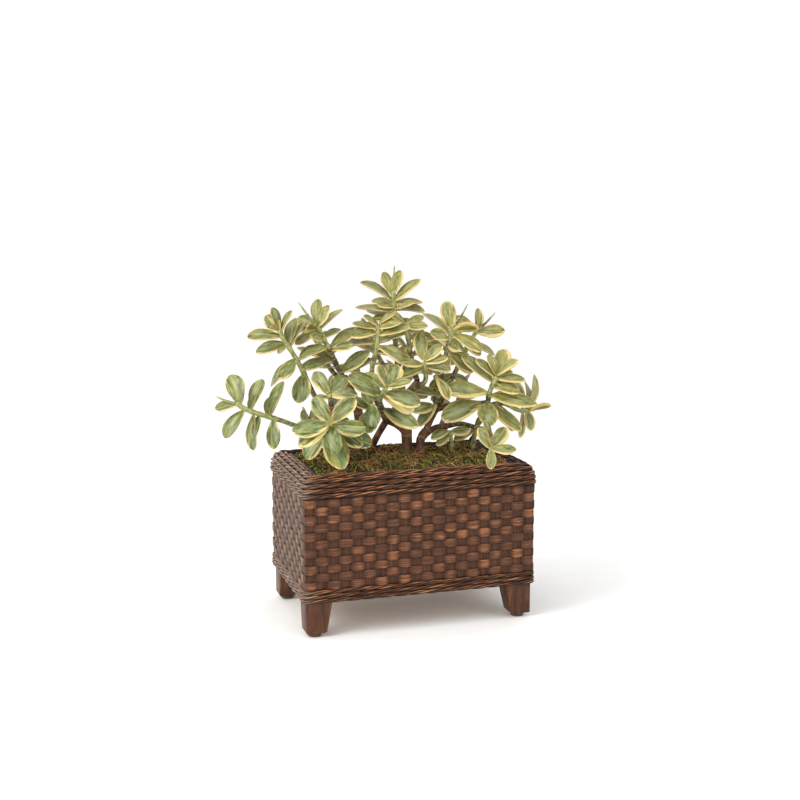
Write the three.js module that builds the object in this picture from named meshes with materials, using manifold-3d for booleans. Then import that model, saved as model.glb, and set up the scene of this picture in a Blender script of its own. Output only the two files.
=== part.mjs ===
// A potted jade plant with cream-edged leaves, in a rectangular rattan planter on four wooden legs.
// Millimetres, +Z up. X runs along the long front of the planter and +Y points to its back.
// The planter is drawn about its own middle, and the whole group is then moved so that the middle
// of the underside of the part's outer box is the origin.

import * as THREE from 'three';
import { mergeVertices } from 'three/addons/utils/BufferGeometryUtils.js';
import Module from 'manifold-3d';

const wasm = await Module();
wasm.setup();

// Driving sizes of the planter
const BASKET_LENGTH = 380; // woven wall, outside, left to right
const BASKET_DEPTH = 242; // woven wall, outside, front to back
const BASKET_CORNER = 5;
const BASKET_FOOT = 56.3; // underside of the woven wall
const BASKET_TOP = 220.8; // where the rim begins
const WALL = 8;
const GAP = 0.3; // clearance kept between touching pieces
const FINE = 0.3; // edges finer than this are dropped where solids were joined

const CORD = 7.2; // thickness of a twisted rim cord
const RIM_STEPS = [ // each cord of the rim: how far out from the wall its middle lies, and its height
  [1.5, 225],
  [1, 232.8],
  [-0.6, 240.5],
  [-4, 247.6],
  [-10.5, 252],
  [-18.4, 251.4],
  [-26.1, 249],
];
const CORE_OUT = -4.7; // the wooden hoop inside the rim, outer and inner side
const CORE_IN = -22;
const CORE_TOP = 247.3;
const CORE_BEVEL = 5;
const CORE_LEDGE = -2.7; // the ledge of the hoop that stands on the wall, and its height
const CORE_LEDGE_TOP = 228;

const BASE_CORD = 6.6;
const BASE_ROWS = [60, 66.9, 73.8];
const BASE_OUT = 0.7; // middle of the base cords, out from the woven wall
const FRAME_OUT = -2.9; // the wooden frame that the base cords are wound round
const FRAME_IN = -12;
const FRAME_TOP = 77.1;

const LEG_TOP = 42;
const LEG_FOOT = 33;
const LEG_INSET = 3; // legs stand this far in from the woven wall
const LEG_CHAMFER = 2.5;
const GLIDE_RADIUS = 10.5;
const GLIDE_HEIGHT = 5.6;
const SCREW_RADIUS = 2.5;
const SCREW_HEAD = 5;

const BOARD = 6; // base board of the basket
const LINER = 2;
const LINER_TOP = 220;
const SOIL_TOP = 218;
const MOSS_EDGE = -30.3;
const MOSS_TOP = 252;
const MOSS_LUMP = 5;

// Driving sizes of the plant
const VIEW_TURN = 17.2; // the shoots are described as seen from the front left, slightly above
const VIEW_DROP = 8.5;
const STEM_TIP = 3.4; // radius of a green stem at its tip, and at its root where nothing else is said
const STEM_ROOT = 4.6;
const LEAF_WIDTH = 0.6; // width over length, where nothing else is said
const LEAF_THICK = 5.2;
const LEAF_STATIONS = [0, 0.5, 0.87];
const BUD_RADIUS = 1.3;
const ROOT_DEPTH = 196; // height of the cut ends of the trunks, inside the soil
const LEAF_CLEAR = 7.4; // two leaves keep at least this between their middles
const SIBLING_CLEAR = 4.4; // leaves of one shoot may lie closer

const rad = THREE.MathUtils.degToRad;
const part = new THREE.Group();

const materials = {
  rattan: new THREE.MeshStandardMaterial({ color: 0x7a4a2e, roughness: 0.72, metalness: 0 }),
  cord: new THREE.MeshStandardMaterial({ color: 0x5a3a28, roughness: 0.8, metalness: 0 }),
  leg: new THREE.MeshStandardMaterial({ color: 0x54382a, roughness: 0.6, metalness: 0 }),
  board: new THREE.MeshStandardMaterial({ color: 0xb08d62, roughness: 0.8, metalness: 0 }),
  liner: new THREE.MeshStandardMaterial({ color: 0x1c1c1c, roughness: 0.5, metalness: 0 }),
  soil: new THREE.MeshStandardMaterial({ color: 0x3a2c20, roughness: 1, metalness: 0 }),
  moss: new THREE.MeshStandardMaterial({ color: 0x6b6a34, roughness: 1, metalness: 0 }),
  glide: new THREE.MeshStandardMaterial({ color: 0x2a2420, roughness: 0.5, metalness: 0 }),
  steel: new THREE.MeshStandardMaterial({ color: 0xb5b5b2, roughness: 0.35, metalness: 1 }),
  bark: new THREE.MeshStandardMaterial({ color: 0x5b4338, roughness: 0.9, metalness: 0 }),
  leaf: new THREE.MeshStandardMaterial({ color: 0x8ea06a, roughness: 0.5, metalness: 0 }),
};

function addPart(name, geometry, material) {
  const mesh = new THREE.Mesh(geometry, material);
  mesh.name = name;
  part.add(mesh);
  return mesh;
}

// Solids that are cut or joined

function toSolid(geometry) {
  const bare = geometry.clone();
  bare.deleteAttribute('normal');
  bare.deleteAttribute('uv');
  const merged = mergeVertices(bare, 1e-4);
  return new wasm.Manifold(new wasm.Mesh({
    numProp: 3,
    vertProperties: new Float32Array(merged.attributes.position.array),
    triVerts: new Uint32Array(merged.index.array),
  }));
}

// The biggest body of a solid, without the crumbs that a cut leaves beside it
function toGeometry(solid) {
  const [whole] = solid.simplify(FINE).decompose().sort((a, b) => b.volume() - a.volume());
  const mesh = whole.getMesh();
  const geometry = new THREE.BufferGeometry();
  geometry.setAttribute('position', new THREE.BufferAttribute(new Float32Array(mesh.vertProperties), 3));
  geometry.setIndex(new THREE.BufferAttribute(new Uint32Array(mesh.triVerts), 1));
  geometry.computeVertexNormals();
  return geometry;
}

// A closed skin over rings of points, all with the same count, from the first ring to the last,
// where a ring of one point at the end closes it to a tip
function loft(rows) {
  const tip = rows[rows.length - 1].length === 1 ? rows[rows.length - 1][0] : null;
  const rings = tip ? rows.slice(0, -1) : rows;
  const positions = [];
  const index = [];
  const count = rings[0].length;
  for (const ring of rings) {
    for (const point of ring) positions.push(point.x, point.y, point.z);
  }
  for (let r = 0; r < rings.length - 1; r += 1) {
    for (let i = 0; i < count; i += 1) {
      const a = r * count + i;
      const b = r * count + ((i + 1) % count);
      index.push(a, b, b + count, a, b + count, a + count);
    }
  }
  const last = (rings.length - 1) * count;
  for (let i = 1; i < count - 1; i += 1) {
    index.push(0, i + 1, i);
    if (!tip) index.push(last, last + i, last + i + 1);
  }
  if (tip) {
    positions.push(tip.x, tip.y, tip.z);
    for (let i = 0; i < count; i += 1) index.push(last + i, last + ((i + 1) % count), last + count);
  }
  const geometry = new THREE.BufferGeometry();
  geometry.setAttribute('position', new THREE.Float32BufferAttribute(positions, 3));
  geometry.setIndex(index);
  return geometry;
}

// The planter

// A rectangle with rounded corners, offset outwards from the woven wall
function wallOutline(offset) {
  const halfX = BASKET_LENGTH / 2 + offset;
  const halfY = BASKET_DEPTH / 2 + offset;
  const r = Math.max(BASKET_CORNER + offset, 2);
  const shape = new THREE.Shape();
  shape.moveTo(halfX - r, -halfY);
  shape.absarc(halfX - r, -halfY + r, r, -Math.PI / 2, 0);
  shape.absarc(halfX - r, halfY - r, r, 0, Math.PI / 2);
  shape.absarc(-halfX + r, halfY - r, r, Math.PI / 2, Math.PI);
  shape.absarc(-halfX + r, -halfY + r, r, Math.PI, Math.PI * 1.5);
  shape.closePath();
  return shape;
}

// A ring round the planter between two offsets, with its long edges bevelled
function ring(outside, inside, bottom, top, bevel) {
  const shape = wallOutline(outside - bevel);
  shape.holes.push(new THREE.Path(wallOutline(inside + bevel).getPoints(1).reverse()));
  const geometry = new THREE.ExtrudeGeometry(shape, {
    depth: top - bottom - 2 * bevel,
    bevelEnabled: bevel > 0,
    bevelSize: bevel,
    bevelThickness: bevel,
    bevelSegments: 1,
    curveSegments: 1,
  });
  return geometry.translate(0, 0, bottom + bevel);
}

// A closed section, given as offset from the wall and height, carried round the planter
function hoop(section) {
  const rings = section.map(([offset, z]) => wallOutline(offset).getPoints(1).slice(0, -1)
    .map(({ x, y }) => [x, y, z]));
  const count = rings[0].length;
  const index = [];
  for (let r = 0; r < rings.length; r += 1) {
    for (let i = 0; i < count; i += 1) {
      const a = r * count + i;
      const b = r * count + ((i + 1) % count);
      const c = ((r + 1) % rings.length) * count + ((i + 1) % count);
      const d = ((r + 1) % rings.length) * count + i;
      index.push(a, b, c, a, c, d);
    }
  }
  const geometry = new THREE.BufferGeometry();
  geometry.setAttribute('position', new THREE.Float32BufferAttribute(rings.flat(2), 3));
  geometry.setIndex(index);
  return geometry;
}

function slab(offset, bottom, top) {
  const geometry = new THREE.ExtrudeGeometry(wallOutline(offset), {
    depth: top - bottom,
    bevelEnabled: false,
    curveSegments: 1,
  });
  return geometry.translate(0, 0, bottom);
}

function rod(x, y, bottom, top, radius, sides = 12) {
  const geometry = new THREE.CylinderGeometry(radius, radius, top - bottom, sides);
  return geometry.rotateX(Math.PI / 2).translate(x, y, (top + bottom) / 2);
}

addPart('planter_walls', ring(0, -WALL, FRAME_TOP + GAP, BASKET_TOP, 0), materials.rattan);
addPart('base_frame', ring(FRAME_OUT, FRAME_IN, BASKET_FOOT, FRAME_TOP, 0), materials.board);
const coreFoot = BASKET_TOP + GAP;
addPart('rim_core', hoop([
  [CORE_LEDGE, coreFoot],
  [CORE_LEDGE, CORE_LEDGE_TOP],
  [CORE_OUT, CORE_LEDGE_TOP],
  [CORE_OUT, CORE_TOP - CORE_BEVEL],
  [CORE_OUT - CORE_BEVEL, CORE_TOP],
  [CORE_IN + CORE_BEVEL, CORE_TOP],
  [CORE_IN, CORE_TOP - CORE_BEVEL],
  [CORE_IN, coreFoot + CORE_BEVEL],
  [CORE_IN + CORE_BEVEL, coreFoot],
]), materials.board);

RIM_STEPS.forEach(([out, height], i) => {
  const half = CORD / 2;
  const cord = ring(out + half, out - half, height - half, height + half, half * 0.586);
  addPart(`rim_cord_${i + 1}`, cord, materials.cord);
});

BASE_ROWS.forEach((height, i) => {
  const half = BASE_CORD / 2;
  const cord = ring(BASE_OUT + half, BASE_OUT - half, height - half, height + half, half * 0.586);
  addPart(`base_cord_${i + 1}`, cord, materials.cord);
});

const boardOffset = FRAME_IN - GAP;
const boardTop = BASKET_FOOT + BOARD;
const legX = BASKET_LENGTH / 2 - LEG_INSET - LEG_TOP / 2;
const legY = BASKET_DEPTH / 2 - LEG_INSET - LEG_TOP / 2;
const legFoot = GLIDE_HEIGHT + GAP;
const legHead = BASKET_FOOT - GAP;
const corners = [
  ['front_left', -1, -1],
  ['front_right', 1, -1],
  ['back_left', -1, 1],
  ['back_right', 1, 1],
];

// A leg is square, upright on its two outer faces and tapered on its two inner ones
function legGeometry(sideX, sideY) {
  const rows = [
    [legFoot, LEG_FOOT, LEG_CHAMFER],
    [legFoot + LEG_CHAMFER, LEG_FOOT, 0],
    [legHead, LEG_TOP, 0],
  ];
  const rings = rows.map(([z, size, inset]) => {
    const outer = LEG_TOP / 2 - inset;
    const inner = LEG_TOP / 2 - size + inset;
    const square = [[inner, inner], [outer, inner], [outer, outer], [inner, outer]];
    const points = square.map(([x, y]) => new THREE.Vector3((legX + x) * sideX, (legY + y) * sideY, z));
    return sideX * sideY > 0 ? points : points.reverse();
  });
  return loft(rings);
}

let board = toSolid(slab(boardOffset, BASKET_FOOT, boardTop));
const screwTip = legHead - 22;
const screwHead = boardTop + 2.5;
for (const [place, sideX, sideY] of corners) {
  const x = legX * sideX;
  const y = legY * sideY;
  board = board.subtract(toSolid(rod(x, y, BASKET_FOOT - 1, boardTop + 1, SCREW_RADIUS + GAP)));
  const pilot = toSolid(rod(x, y, screwTip - GAP, legHead + 1, SCREW_RADIUS + GAP));
  const leg = toSolid(legGeometry(sideX, sideY)).subtract(pilot);
  addPart(`leg_${place}`, toGeometry(leg), materials.leg);
  const footX = x + (sideX * (LEG_TOP - LEG_FOOT)) / 2;
  const footY = y + (sideY * (LEG_TOP - LEG_FOOT)) / 2;
  addPart(`glide_${place}`, rod(footX, footY, 0, GLIDE_HEIGHT, GLIDE_RADIUS, 16), materials.glide);
  const profile = [
    [0, screwTip],
    [SCREW_RADIUS, screwTip + 3],
    [SCREW_RADIUS, boardTop + GAP],
    [SCREW_HEAD, boardTop + GAP],
    [SCREW_HEAD * 0.8, screwHead],
    [0, screwHead],
  ].map(([r, z]) => new THREE.Vector2(r, z));
  const screw = new THREE.LatheGeometry(profile, 10).rotateX(Math.PI / 2).translate(x, y, 0);
  addPart(`leg_screw_${place}`, toGeometry(toSolid(screw)), materials.steel);
}
addPart('base_board', toGeometry(board), materials.board);

const linerFoot = screwHead + GAP;
const linerOuter = toSolid(slab(boardOffset, linerFoot, LINER_TOP));
const linerInner = toSolid(slab(boardOffset - LINER, linerFoot + LINER, LINER_TOP + 1));
addPart('liner', toGeometry(linerOuter.subtract(linerInner)), materials.liner);

// The plant: shoots and trunks

// Brown trunks and their forks, each a list of limbs: thickness and the points that it passes
const trunks = [
  {
    name: 'trunk_left',
    limbs: [
      [15, [[-64, 34, ROOT_DEPTH], [-64, 34, 252], [-60, 31, 300], [-66, 25, 340], [-79, 20, 368],
        [-91, 15, 388]]],
      [11, [[-61, 30, 290], [-97, -15, 304], [-121, -40, 318]]],
      [9, [[-119, -38, 317], [-126, -46, 340], [-128, -50, 354]]],
    ],
  },
  {
    name: 'trunk_middle',
    limbs: [
      [19, [[18, 17, ROOT_DEPTH], [18, 17, 252], [17, 16, 292], [10, 14, 332], [3, 12, 368]]],
      [11, [[-28, 80, ROOT_DEPTH], [-28, 80, 246], [-25, 74, 262], [-11, 40, 309], [3, 20, 338],
        [18, 6, 362], [31, -4, 380]]],
      [11, [[17, 16, 290], [4, 22, 303], [-10, 38, 310]]],
      [10, [[-12, 39, 309], [-28, 0, 328], [-41, -36, 342]]],
    ],
  },
  {
    name: 'trunk_right',
    limbs: [
      [15, [[35, -6, ROOT_DEPTH], [35, -4, 252], [37, 2, 280], [48, 8, 294]]],
      [11, [[45, 6, 291], [67, 14, 328], [80, 10, 354]]],
      [11, [[42, 4, 287], [66, 11, 298], [88, 15, 299]]],
      [10, [[67, 13, 328], [93, 5, 336], [128, -12, 340]]],
    ],
  },
];

// Each shoot has the points of its green stem and its leaves. A leaf is: how far along the stem it
// grows (0 to 1), its direction in the view from the front (degrees, 0 to the right, 90 up), its
// lean towards the viewer, its length, how far its upper face is turned to the viewer, and its
// width over its length where that isn't LEAF_WIDTH. A bud is: direction, lean, length.
const shoots = [
  {
    name: 'shoot_left_low_front',
    stem: [[-119, -38, 317], [-126, -60, 319], [-138, -90, 328], [-145, -112, 335]],
    leaves: [
      [1, 125, -8, 50, 90, 0.64], [0.97, 45, -5, 56, 90, 0.6], [0.98, 189, 8, 60, 80],
      [0.86, 352, 12, 56, 80], [0.9, 215, 15, 58, 72, 0.64], [0.84, 282, 30, 54, 90, 0.72],
      [0.62, 288, 34, 80, 84, 0.58], [0.6, 232, -5, 66, 60, 0.62], [0.5, 205, -28, 76, 50],
      [0.3, 338, -5, 66, 60], [0.42, 328, 24, 60, 70],
    ],
  },
  {
    name: 'shoot_left_low_back',
    stem: [[-128, -50, 350], [-131, -55, 374]],
    leaves: [
      [0.95, 130, -20, 48, 90, 0.62], [1, 52, -42, 50, 90, 0.62], [0.8, 0, 15, 46, 66],
      [0.7, 180, -20, 26, 40],
    ],
  },
  {
    name: 'shoot_far_left',
    stem: [[-62, 31, 288], [-117, 5, 305], [-171, -15, 316], [-202, -25, 329], [-235, -32, 341],
      [-261, -38, 352], [-277, -42, 363]],
    leaves: [
      [0.96, 111, -25, 57, 90, 0.64], [1, 193, 5, 36, 75, 0.6], [0.92, 235, 15, 56, 60, 0.56],
      [0.88, 72, -10, 54, 56, 0.56], [0.88, 92, -30, 34, 50], [0.81, 258, 20, 40, 55],
      [0.855, 263, -10, 66, 40, 0.52], [0.74, 69, 10, 62, 48, 0.54], [0.75, 84, -25, 38, 62],
      [0.71, 270, 10, 50, 85, 0.58], [0.45, 100, 5, 30, 70, 0.6],
    ],
    bud: [160, 5, 36],
  },
  {
    name: 'shoot_upper_left',
    stem: [[-100, -20, 306], [-122, -16, 330], [-142, -8, 359], [-153, 0, 384], [-161, 2, 403],
      [-170, 5, 421], [-179, 5, 436], [-194, 5, 460], [-198, 5, 471]],
    leaves: [
      [1, 134, -20, 38, 90, 0.72], [1, 109, 15, 40, 45], [0.97, 62, 15, 42, 30], [0.98, 95, 30, 22, 45],
      [0.99, 168, 25, 24, 70], [0.93, 180, 10, 56, 44], [0.86, 192, -10, 54, 56],
      [0.85, 222, 30, 24, 60], [0.82, 60, -10, 50, 30], [0.84, 78, -12, 50, 62], [0.72, 230, 32, 48, 90],
      [0.7, 219, -25, 66, 38], [0.7, 25, -15, 52, 34], [0.58, 263, 32, 55, 85, 0.7],
      [0.61, 18, -10, 40, 55],
    ],
  },
  {
    name: 'shoot_left_middle',
    stem: [[-90, 15, 386], [-100, 14, 404], [-107, 12, 418], [-114, 10, 435], [-121, 10, 446],
      [-129, 10, 462], [-135, 10, 474]],
    leaves: [
      [1, 90, -15, 47, 54], [0.98, 60, 20, 44, 64, 0.58], [0.93, 43, -15, 52, 32], [1, 153, 0, 48, 58],
      [0.97, 188, 25, 42, -60], [0.92, 208, -5, 46, 50], [0.95, 176, -25, 52, 60],
      [0.78, 30, -20, 34, 60], [0.74, 164, 44, 36, 85, 0.56], [0.62, 200, 32, 50, 42],
      [0.57, 37, 0, 62, 50], [0.54, 12, 25, 44, 42], [0.3, 152, -25, 50, -70], [0.36, 194, -5, 60, 38],
      [0.12, 35, 10, 60, 58],
    ],
    bud: [128, 0, 51],
  },
  {
    name: 'shoot_middle_low_left',
    stem: [[-30, -8, 328], [-52, -44, 335], [-66, -74, 348], [-70, -84, 357]],
    leaves: [
      [1, 275, 45, 44, 90, 0.76], [0.88, 256, 15, 54, 88, 0.7], [0.95, 120, -30, 36, 75],
      [0.7, 40, -35, 44, 60], [0.8, 152, -10, 40, 65],
    ],
  },
  {
    name: 'shoot_middle_front',
    stem: [[-37, -27, 338], [-53, -68, 364], [-49, -92, 385]],
    leaves: [
      [1, 72, -48, 64, 88], [1, 112, 10, 40, 50], [0.97, 148, -20, 46, 66], [0.73, 152, 10, 70, 60],
      [1, 12, 20, 42, 52], [0.8, 345, 10, 62, 70], [0.7, 334, -18, 62, 70],
      [0.12, 334, 25, 74, 64, 0.48], [0.6, 170, -25, 42, 60],
    ],
  },
  {
    name: 'shoot_middle_left_upper',
    stem: [[-30, -5, 330], [-44, -10, 356], [-50, -12, 381], [-50, -12, 406], [-45, -12, 427],
      [-41, -10, 446], [-37, -6, 477]],
    leaves: [
      [0.9, 190, 10, 46, 60], [0.95, 172, -15, 44, 40], [0.79, 186, -10, 66, 30],
      [0.87, 15, 15, 58, 42], [0.76, 330, 10, 66, 46], [0.69, 0, -25, 40, 50], [1, 38, 10, 36, 36],
      [1, 150, 20, 30, 40], [0.62, 200, -30, 46, 45], [0.95, 12, 28, 44, 48],
    ],
  },
  {
    name: 'shoot_tallest',
    stem: [[3, 12, 366], [-1, 15, 430], [-4, 18, 463], [-3, 20, 496], [-5, 20, 530]],
    leaves: [
      [0.93, 110, -10, 45, 84, 0.54], [0.95, 73, 15, 42, 85, 0.58], [0.87, 38, 10, 60, 46, 0.52],
      [0.86, 150, 10, 66, 30, 0.54], [0.84, 166, -25, 44, 36], [0.85, 7, -10, 50, 34], [0.8, 14, 15, 42, 30],
      [0.82, 172, 40, 34, 40], [0.78, 177, 10, 66, 26], [0.7, 162, -20, 52, 30],
      [0.79, 0, -5, 52, 32], [0.68, 176, 25, 40, 45], [0.7, 344, -15, 44, 58], [0.59, 358, 15, 56, 42],
      [0.52, 188, -25, 46, 45],
    ],
    bud: [87, 0, 42],
  },
  {
    name: 'shoot_middle_right',
    stem: [[30, -3, 379], [21, -8, 404], [17, -8, 424], [14, -6, 445], [8, 0, 478]],
    leaves: [
      [0.73, 0, -15, 46, 60], [0.82, 195, 10, 38, 55], [0.97, 20, -10, 34, 66], [1, 150, 20, 32, 60],
      [0.62, 215, 25, 42, 45], [0.45, 20, -30, 46, 45], [0.92, 355, 18, 44, 55],
    ],
  },
  {
    name: 'shoot_middle_right_front',
    stem: [[20, 4, 365], [36, -25, 383], [29, -37, 417]],
    leaves: [
      [1, 96, -15, 50, 88, 0.6], [1, 44, 10, 42, 66], [0.95, 10, 20, 42, 52], [0.85, 358, -15, 46, 48],
      [0.9, 175, 30, 42, 50], [0.8, 200, -10, 44, 50],
    ],
  },
  {
    name: 'shoot_centre',
    stem: [[67, 14, 328], [68, 0, 350], [60, -15, 374], [53, -25, 392]],
    leaves: [
      [0.96, 300, 15, 46, 50], [1, 52, -20, 42, 85, 0.6], [0.4, 168, -5, 50, 45], [0.9, 174, 5, 50, 34],
      [0.2, 232, 15, 52, 48], [0.7, 335, -30, 42, 66], [0.1, 194, 12, 52, 60],
    ],
  },
  {
    name: 'shoot_right_upper',
    stem: [[80, 10, 352], [75, 5, 387], [79, 0, 416], [83, -2, 438], [89, -4, 463]],
    leaves: [
      [0.98, 98, -10, 54, 84, 0.62], [0.91, 139, -5, 62, 34], [1, 6, 15, 48, -50], [0.94, 330, 15, 60, 48],
      [0.86, 165, 5, 46, 60], [0.78, 325, 38, 36, 85, 0.6], [0.7, 322, 15, 58, 60],
      [0.46, 24, -20, 50, 58], [0.7, 160, -22, 46, 55],
    ],
    bud: [59, 0, 53],
  },
  {
    name: 'shoot_right_upper_back',
    stem: [[72, 12, 338], [92, 30, 358], [111, 40, 386], [125, 40, 415], [134, 40, 432], [150, 40, 457]],
    leaves: [
      [1, 85, -10, 42, 60], [0.98, 143, 10, 46, 62], [0.97, 5, 10, 50, 76, 0.6],
      [0.84, 328, 20, 50, 36], [0.77, 330, 30, 32, 55], [0.72, 150, -20, 46, 50],
      [0.55, 345, -25, 50, 45], [0.42, 206, -12, 48, 60],
    ],
    bud: [45, 0, 46],
  },
  {
    name: 'shoot_right_middle',
    stem: [[128, -12, 340], [144, -25, 343], [145, -32, 359], [150, -36, 375], [155, -40, 388]],
    leaves: [
      [1, 68, -25, 58, 88, 0.6], [0.98, 110, -10, 40, 52], [0.94, 136, 10, 46, 40], [1, 37, 15, 46, 34],
      [0.9, 24, -30, 40, 66], [0.93, 357, 10, 50, 44], [0.84, 348, -25, 50, 40],
      [0.55, 172, 15, 76, 60, 0.52], [0.5, 351, 12, 82, 54, 0.48], [0.45, 355, -22, 92, 36, 0.46],
      [0.2, 202, -8, 78, 74, 0.54], [0.3, 270, 42, 62, 88, 0.68], [0.28, 322, 8, 76, 52, 0.48],
      [0.82, 140, 12, 70, 52, 0.5], [0.72, 350, 28, 48, 58],
    ],
  },
  {
    name: 'shoot_far_right',
    stem: [[122, -9, 340], [142, 2, 332], [182, -2, 336], [210, 0, 323], [231, 5, 320]],
    leaves: [
      [1, 11, -10, 44, -28], [0.98, 275, 35, 42, 85, 0.6], [0.98, 91, -15, 56, 34], [1, 78, 15, 64, 30],
      [0.9, 100, -25, 68, 26], [0.9, 264, 10, 48, 32], [0.47, 300, 15, 54, 40],
      [0.94, 35, -20, 48, 72, 0.66],
    ],
  },
  {
    name: 'shoot_low_right_front',
    stem: [[86, 15, 299], [106, 5, 304], [127, -30, 301], [131, -64, 303], [126, -95, 292], [115, -115, 281]],
    leaves: [
      [0.97, 49, -20, 48, 88, 0.62], [1, 0, 10, 42, 60], [1, 268, 28, 38, 85, 0.58],
      [0.99, 122, 15, 40, 60], [0.8, 110, -20, 32, 50],
    ],
  },
  {
    name: 'shoot_low_right_a',
    stem: [[92, 0, ROOT_DEPTH + 5], [92, 0, 252], [90, 0, 278], [86, 0, 295]],
    leaves: [
      [0.96, 5, 25, 38, 85], [0.9, 215, 30, 34, 80], [1, 202, -15, 40, 60],
    ],
  },
  {
    name: 'shoot_low_right_b',
    stem: [[135, 20, ROOT_DEPTH + 5], [135, 20, 255], [139, 20, 275], [138, 15, 293]],
    leaves: [
      [0.96, 205, 10, 40, 60], [0.88, 258, -15, 28, 80], [1, 60, 10, 30, 60], [0.9, 340, -10, 36, 50],
    ],
  },
];

// Shoots on the far side: pairs of leaves, each pair turned a quarter from the one below it
const backShoots = [
  { name: 'shoot_back_left', pairs: 4, longest: 54, twist: 20,
    stem: [[-78, 21, 366], [-100, 55, 395], [-114, 80, 425], [-117, 90, 448]] },
  { name: 'shoot_back_low_left', pairs: 3, longest: 56, twist: 70,
    stem: [[-62, 32, 276], [-75, 70, 305], [-85, 95, 335], [-88, 105, 356]] },
  { name: 'shoot_back_low_far_left', pairs: 3, longest: 50, twist: 0,
    stem: [[-63, 34, 264], [-90, 50, 280], [-120, 62, 296], [-138, 66, 312]] },
  { name: 'shoot_back_middle', pairs: 4, longest: 56, twist: 40,
    stem: [[12, 14, 322], [24, 60, 340], [32, 95, 366], [34, 110, 390]] },
  { name: 'shoot_back_top_left', pairs: 4, longest: 50, twist: 10,
    stem: [[4, 14, 350], [-12, 50, 400], [-26, 75, 434], [-32, 85, 456]] },
  { name: 'shoot_back_top_middle', pairs: 4, longest: 50, twist: 65,
    stem: [[10, 14, 342], [22, 50, 385], [38, 78, 412], [46, 92, 440]] },
  { name: 'shoot_back_top_right', pairs: 4, longest: 50, twist: 30,
    stem: [[69, 14, 330], [78, 50, 362], [114, 86, 400], [140, 104, 436]] },
  { name: 'shoot_back_low_right', pairs: 3, longest: 58, twist: 15,
    stem: [[76, 13, 298], [96, 50, 308], [130, 80, 330], [142, 92, 352]] },
];

// Seeded draws, so the plant grows the same every time
let seed = 4127;
function draw(low, high) {
  seed = (seed * 16807) % 2147483647;
  return low + ((high - low) * seed) / 2147483647;
}

const turn = rad(VIEW_TURN);
const drop = rad(VIEW_DROP);
const viewRight = new THREE.Vector3(Math.cos(turn), -Math.sin(turn), 0);
const viewBack = new THREE.Vector3(
  -Math.sin(turn) * Math.cos(drop),
  -Math.cos(turn) * Math.cos(drop),
  Math.sin(drop),
); // from the plant towards the viewer
const viewUp = new THREE.Vector3().crossVectors(viewBack, viewRight);

function vec([x, y, z]) {
  return new THREE.Vector3(x, y, z);
}

// A point at a share of the length of a line of straight runs
function alongLine(points, share) {
  const lengths = points.slice(1).map((point, i) => point.distanceTo(points[i]));
  let left = share * lengths.reduce((sum, length) => sum + length, 0);
  for (let i = 0; i < lengths.length; i += 1) {
    if (left <= lengths[i] || i === lengths.length - 1) {
      return points[i].clone().lerp(points[i + 1], Math.min(left / lengths[i], 1));
    }
    left -= lengths[i];
  }
  return points[0].clone();
}

function viewDirection(clock, lean) {
  return new THREE.Vector3()
    .addScaledVector(viewRight, Math.cos(rad(clock)) * Math.cos(rad(lean)))
    .addScaledVector(viewUp, Math.sin(rad(clock)) * Math.cos(rad(lean)))
    .addScaledVector(viewBack, Math.sin(rad(lean)));
}

// The way up of a leaf: edge-on to the viewer at 0 degrees, facing the viewer at 90
function faceDirection(axis, stemDirection, face) {
  const toViewer = viewBack.clone().addScaledVector(axis, -viewBack.dot(axis)).normalize();
  const sideways = new THREE.Vector3().crossVectors(axis, toViewer);
  if (sideways.dot(stemDirection) + 0.7 * sideways.z < 0) sideways.negate();
  return sideways.multiplyScalar(Math.cos(rad(face))).addScaledVector(toViewer, Math.sin(rad(face)));
}

// Half the width of a leaf at a share of its length: narrow at the root, broadest past the middle,
// round at the tip
function halfWidth(leaf, share) {
  const broad = (leaf.length * leaf.broad) / 2;
  const stalk = 2.2;
  return stalk * (1 - share) ** 2 + (broad - stalk) * Math.sin(Math.PI * share ** 1.5) ** 0.6;
}

// The middle line of a leaf arches a little over its upper face
function midPoint(leaf, share) {
  const arch = leaf.arch * leaf.length * 4 * share * (1 - share);
  return leaf.root.clone().addScaledVector(leaf.axis, leaf.length * share).addScaledVector(leaf.up, arch);
}

function leafGeometry(leaf) {
  const side = new THREE.Vector3().crossVectors(leaf.axis, leaf.up);
  const rings = LEAF_STATIONS.map((share) => {
    const half = halfWidth(leaf, share);
    const thick = LEAF_THICK * (1 - 0.35 * share);
    const middle = midPoint(leaf, share);
    const cup = 0.2 * half;
    return [
      middle.clone().addScaledVector(side, half).addScaledVector(leaf.up, cup),
      middle.clone().addScaledVector(leaf.up, -thick * 0.7),
      middle.clone().addScaledVector(side, -half).addScaledVector(leaf.up, cup),
    ];
  });
  return loft([...rings, [midPoint(leaf, 1)]]);
}

function budGeometry(root, axis, length) {
  const across = new THREE.Vector3().crossVectors(axis, viewBack).normalize();
  const other = new THREE.Vector3().crossVectors(axis, across);
  const rings = [[0, BUD_RADIUS], [0.55, BUD_RADIUS * 0.8], [1, BUD_RADIUS * 0.4]].map(([share, radius]) => {
    const middle = root.clone().addScaledVector(axis, length * share);
    return [[1, 0], [-0.5, 0.87], [-0.5, -0.87]].map(([a, b]) => (
      middle.clone().addScaledVector(across, a * radius).addScaledVector(other, b * radius)
    ));
  });
  return loft(rings);
}

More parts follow.
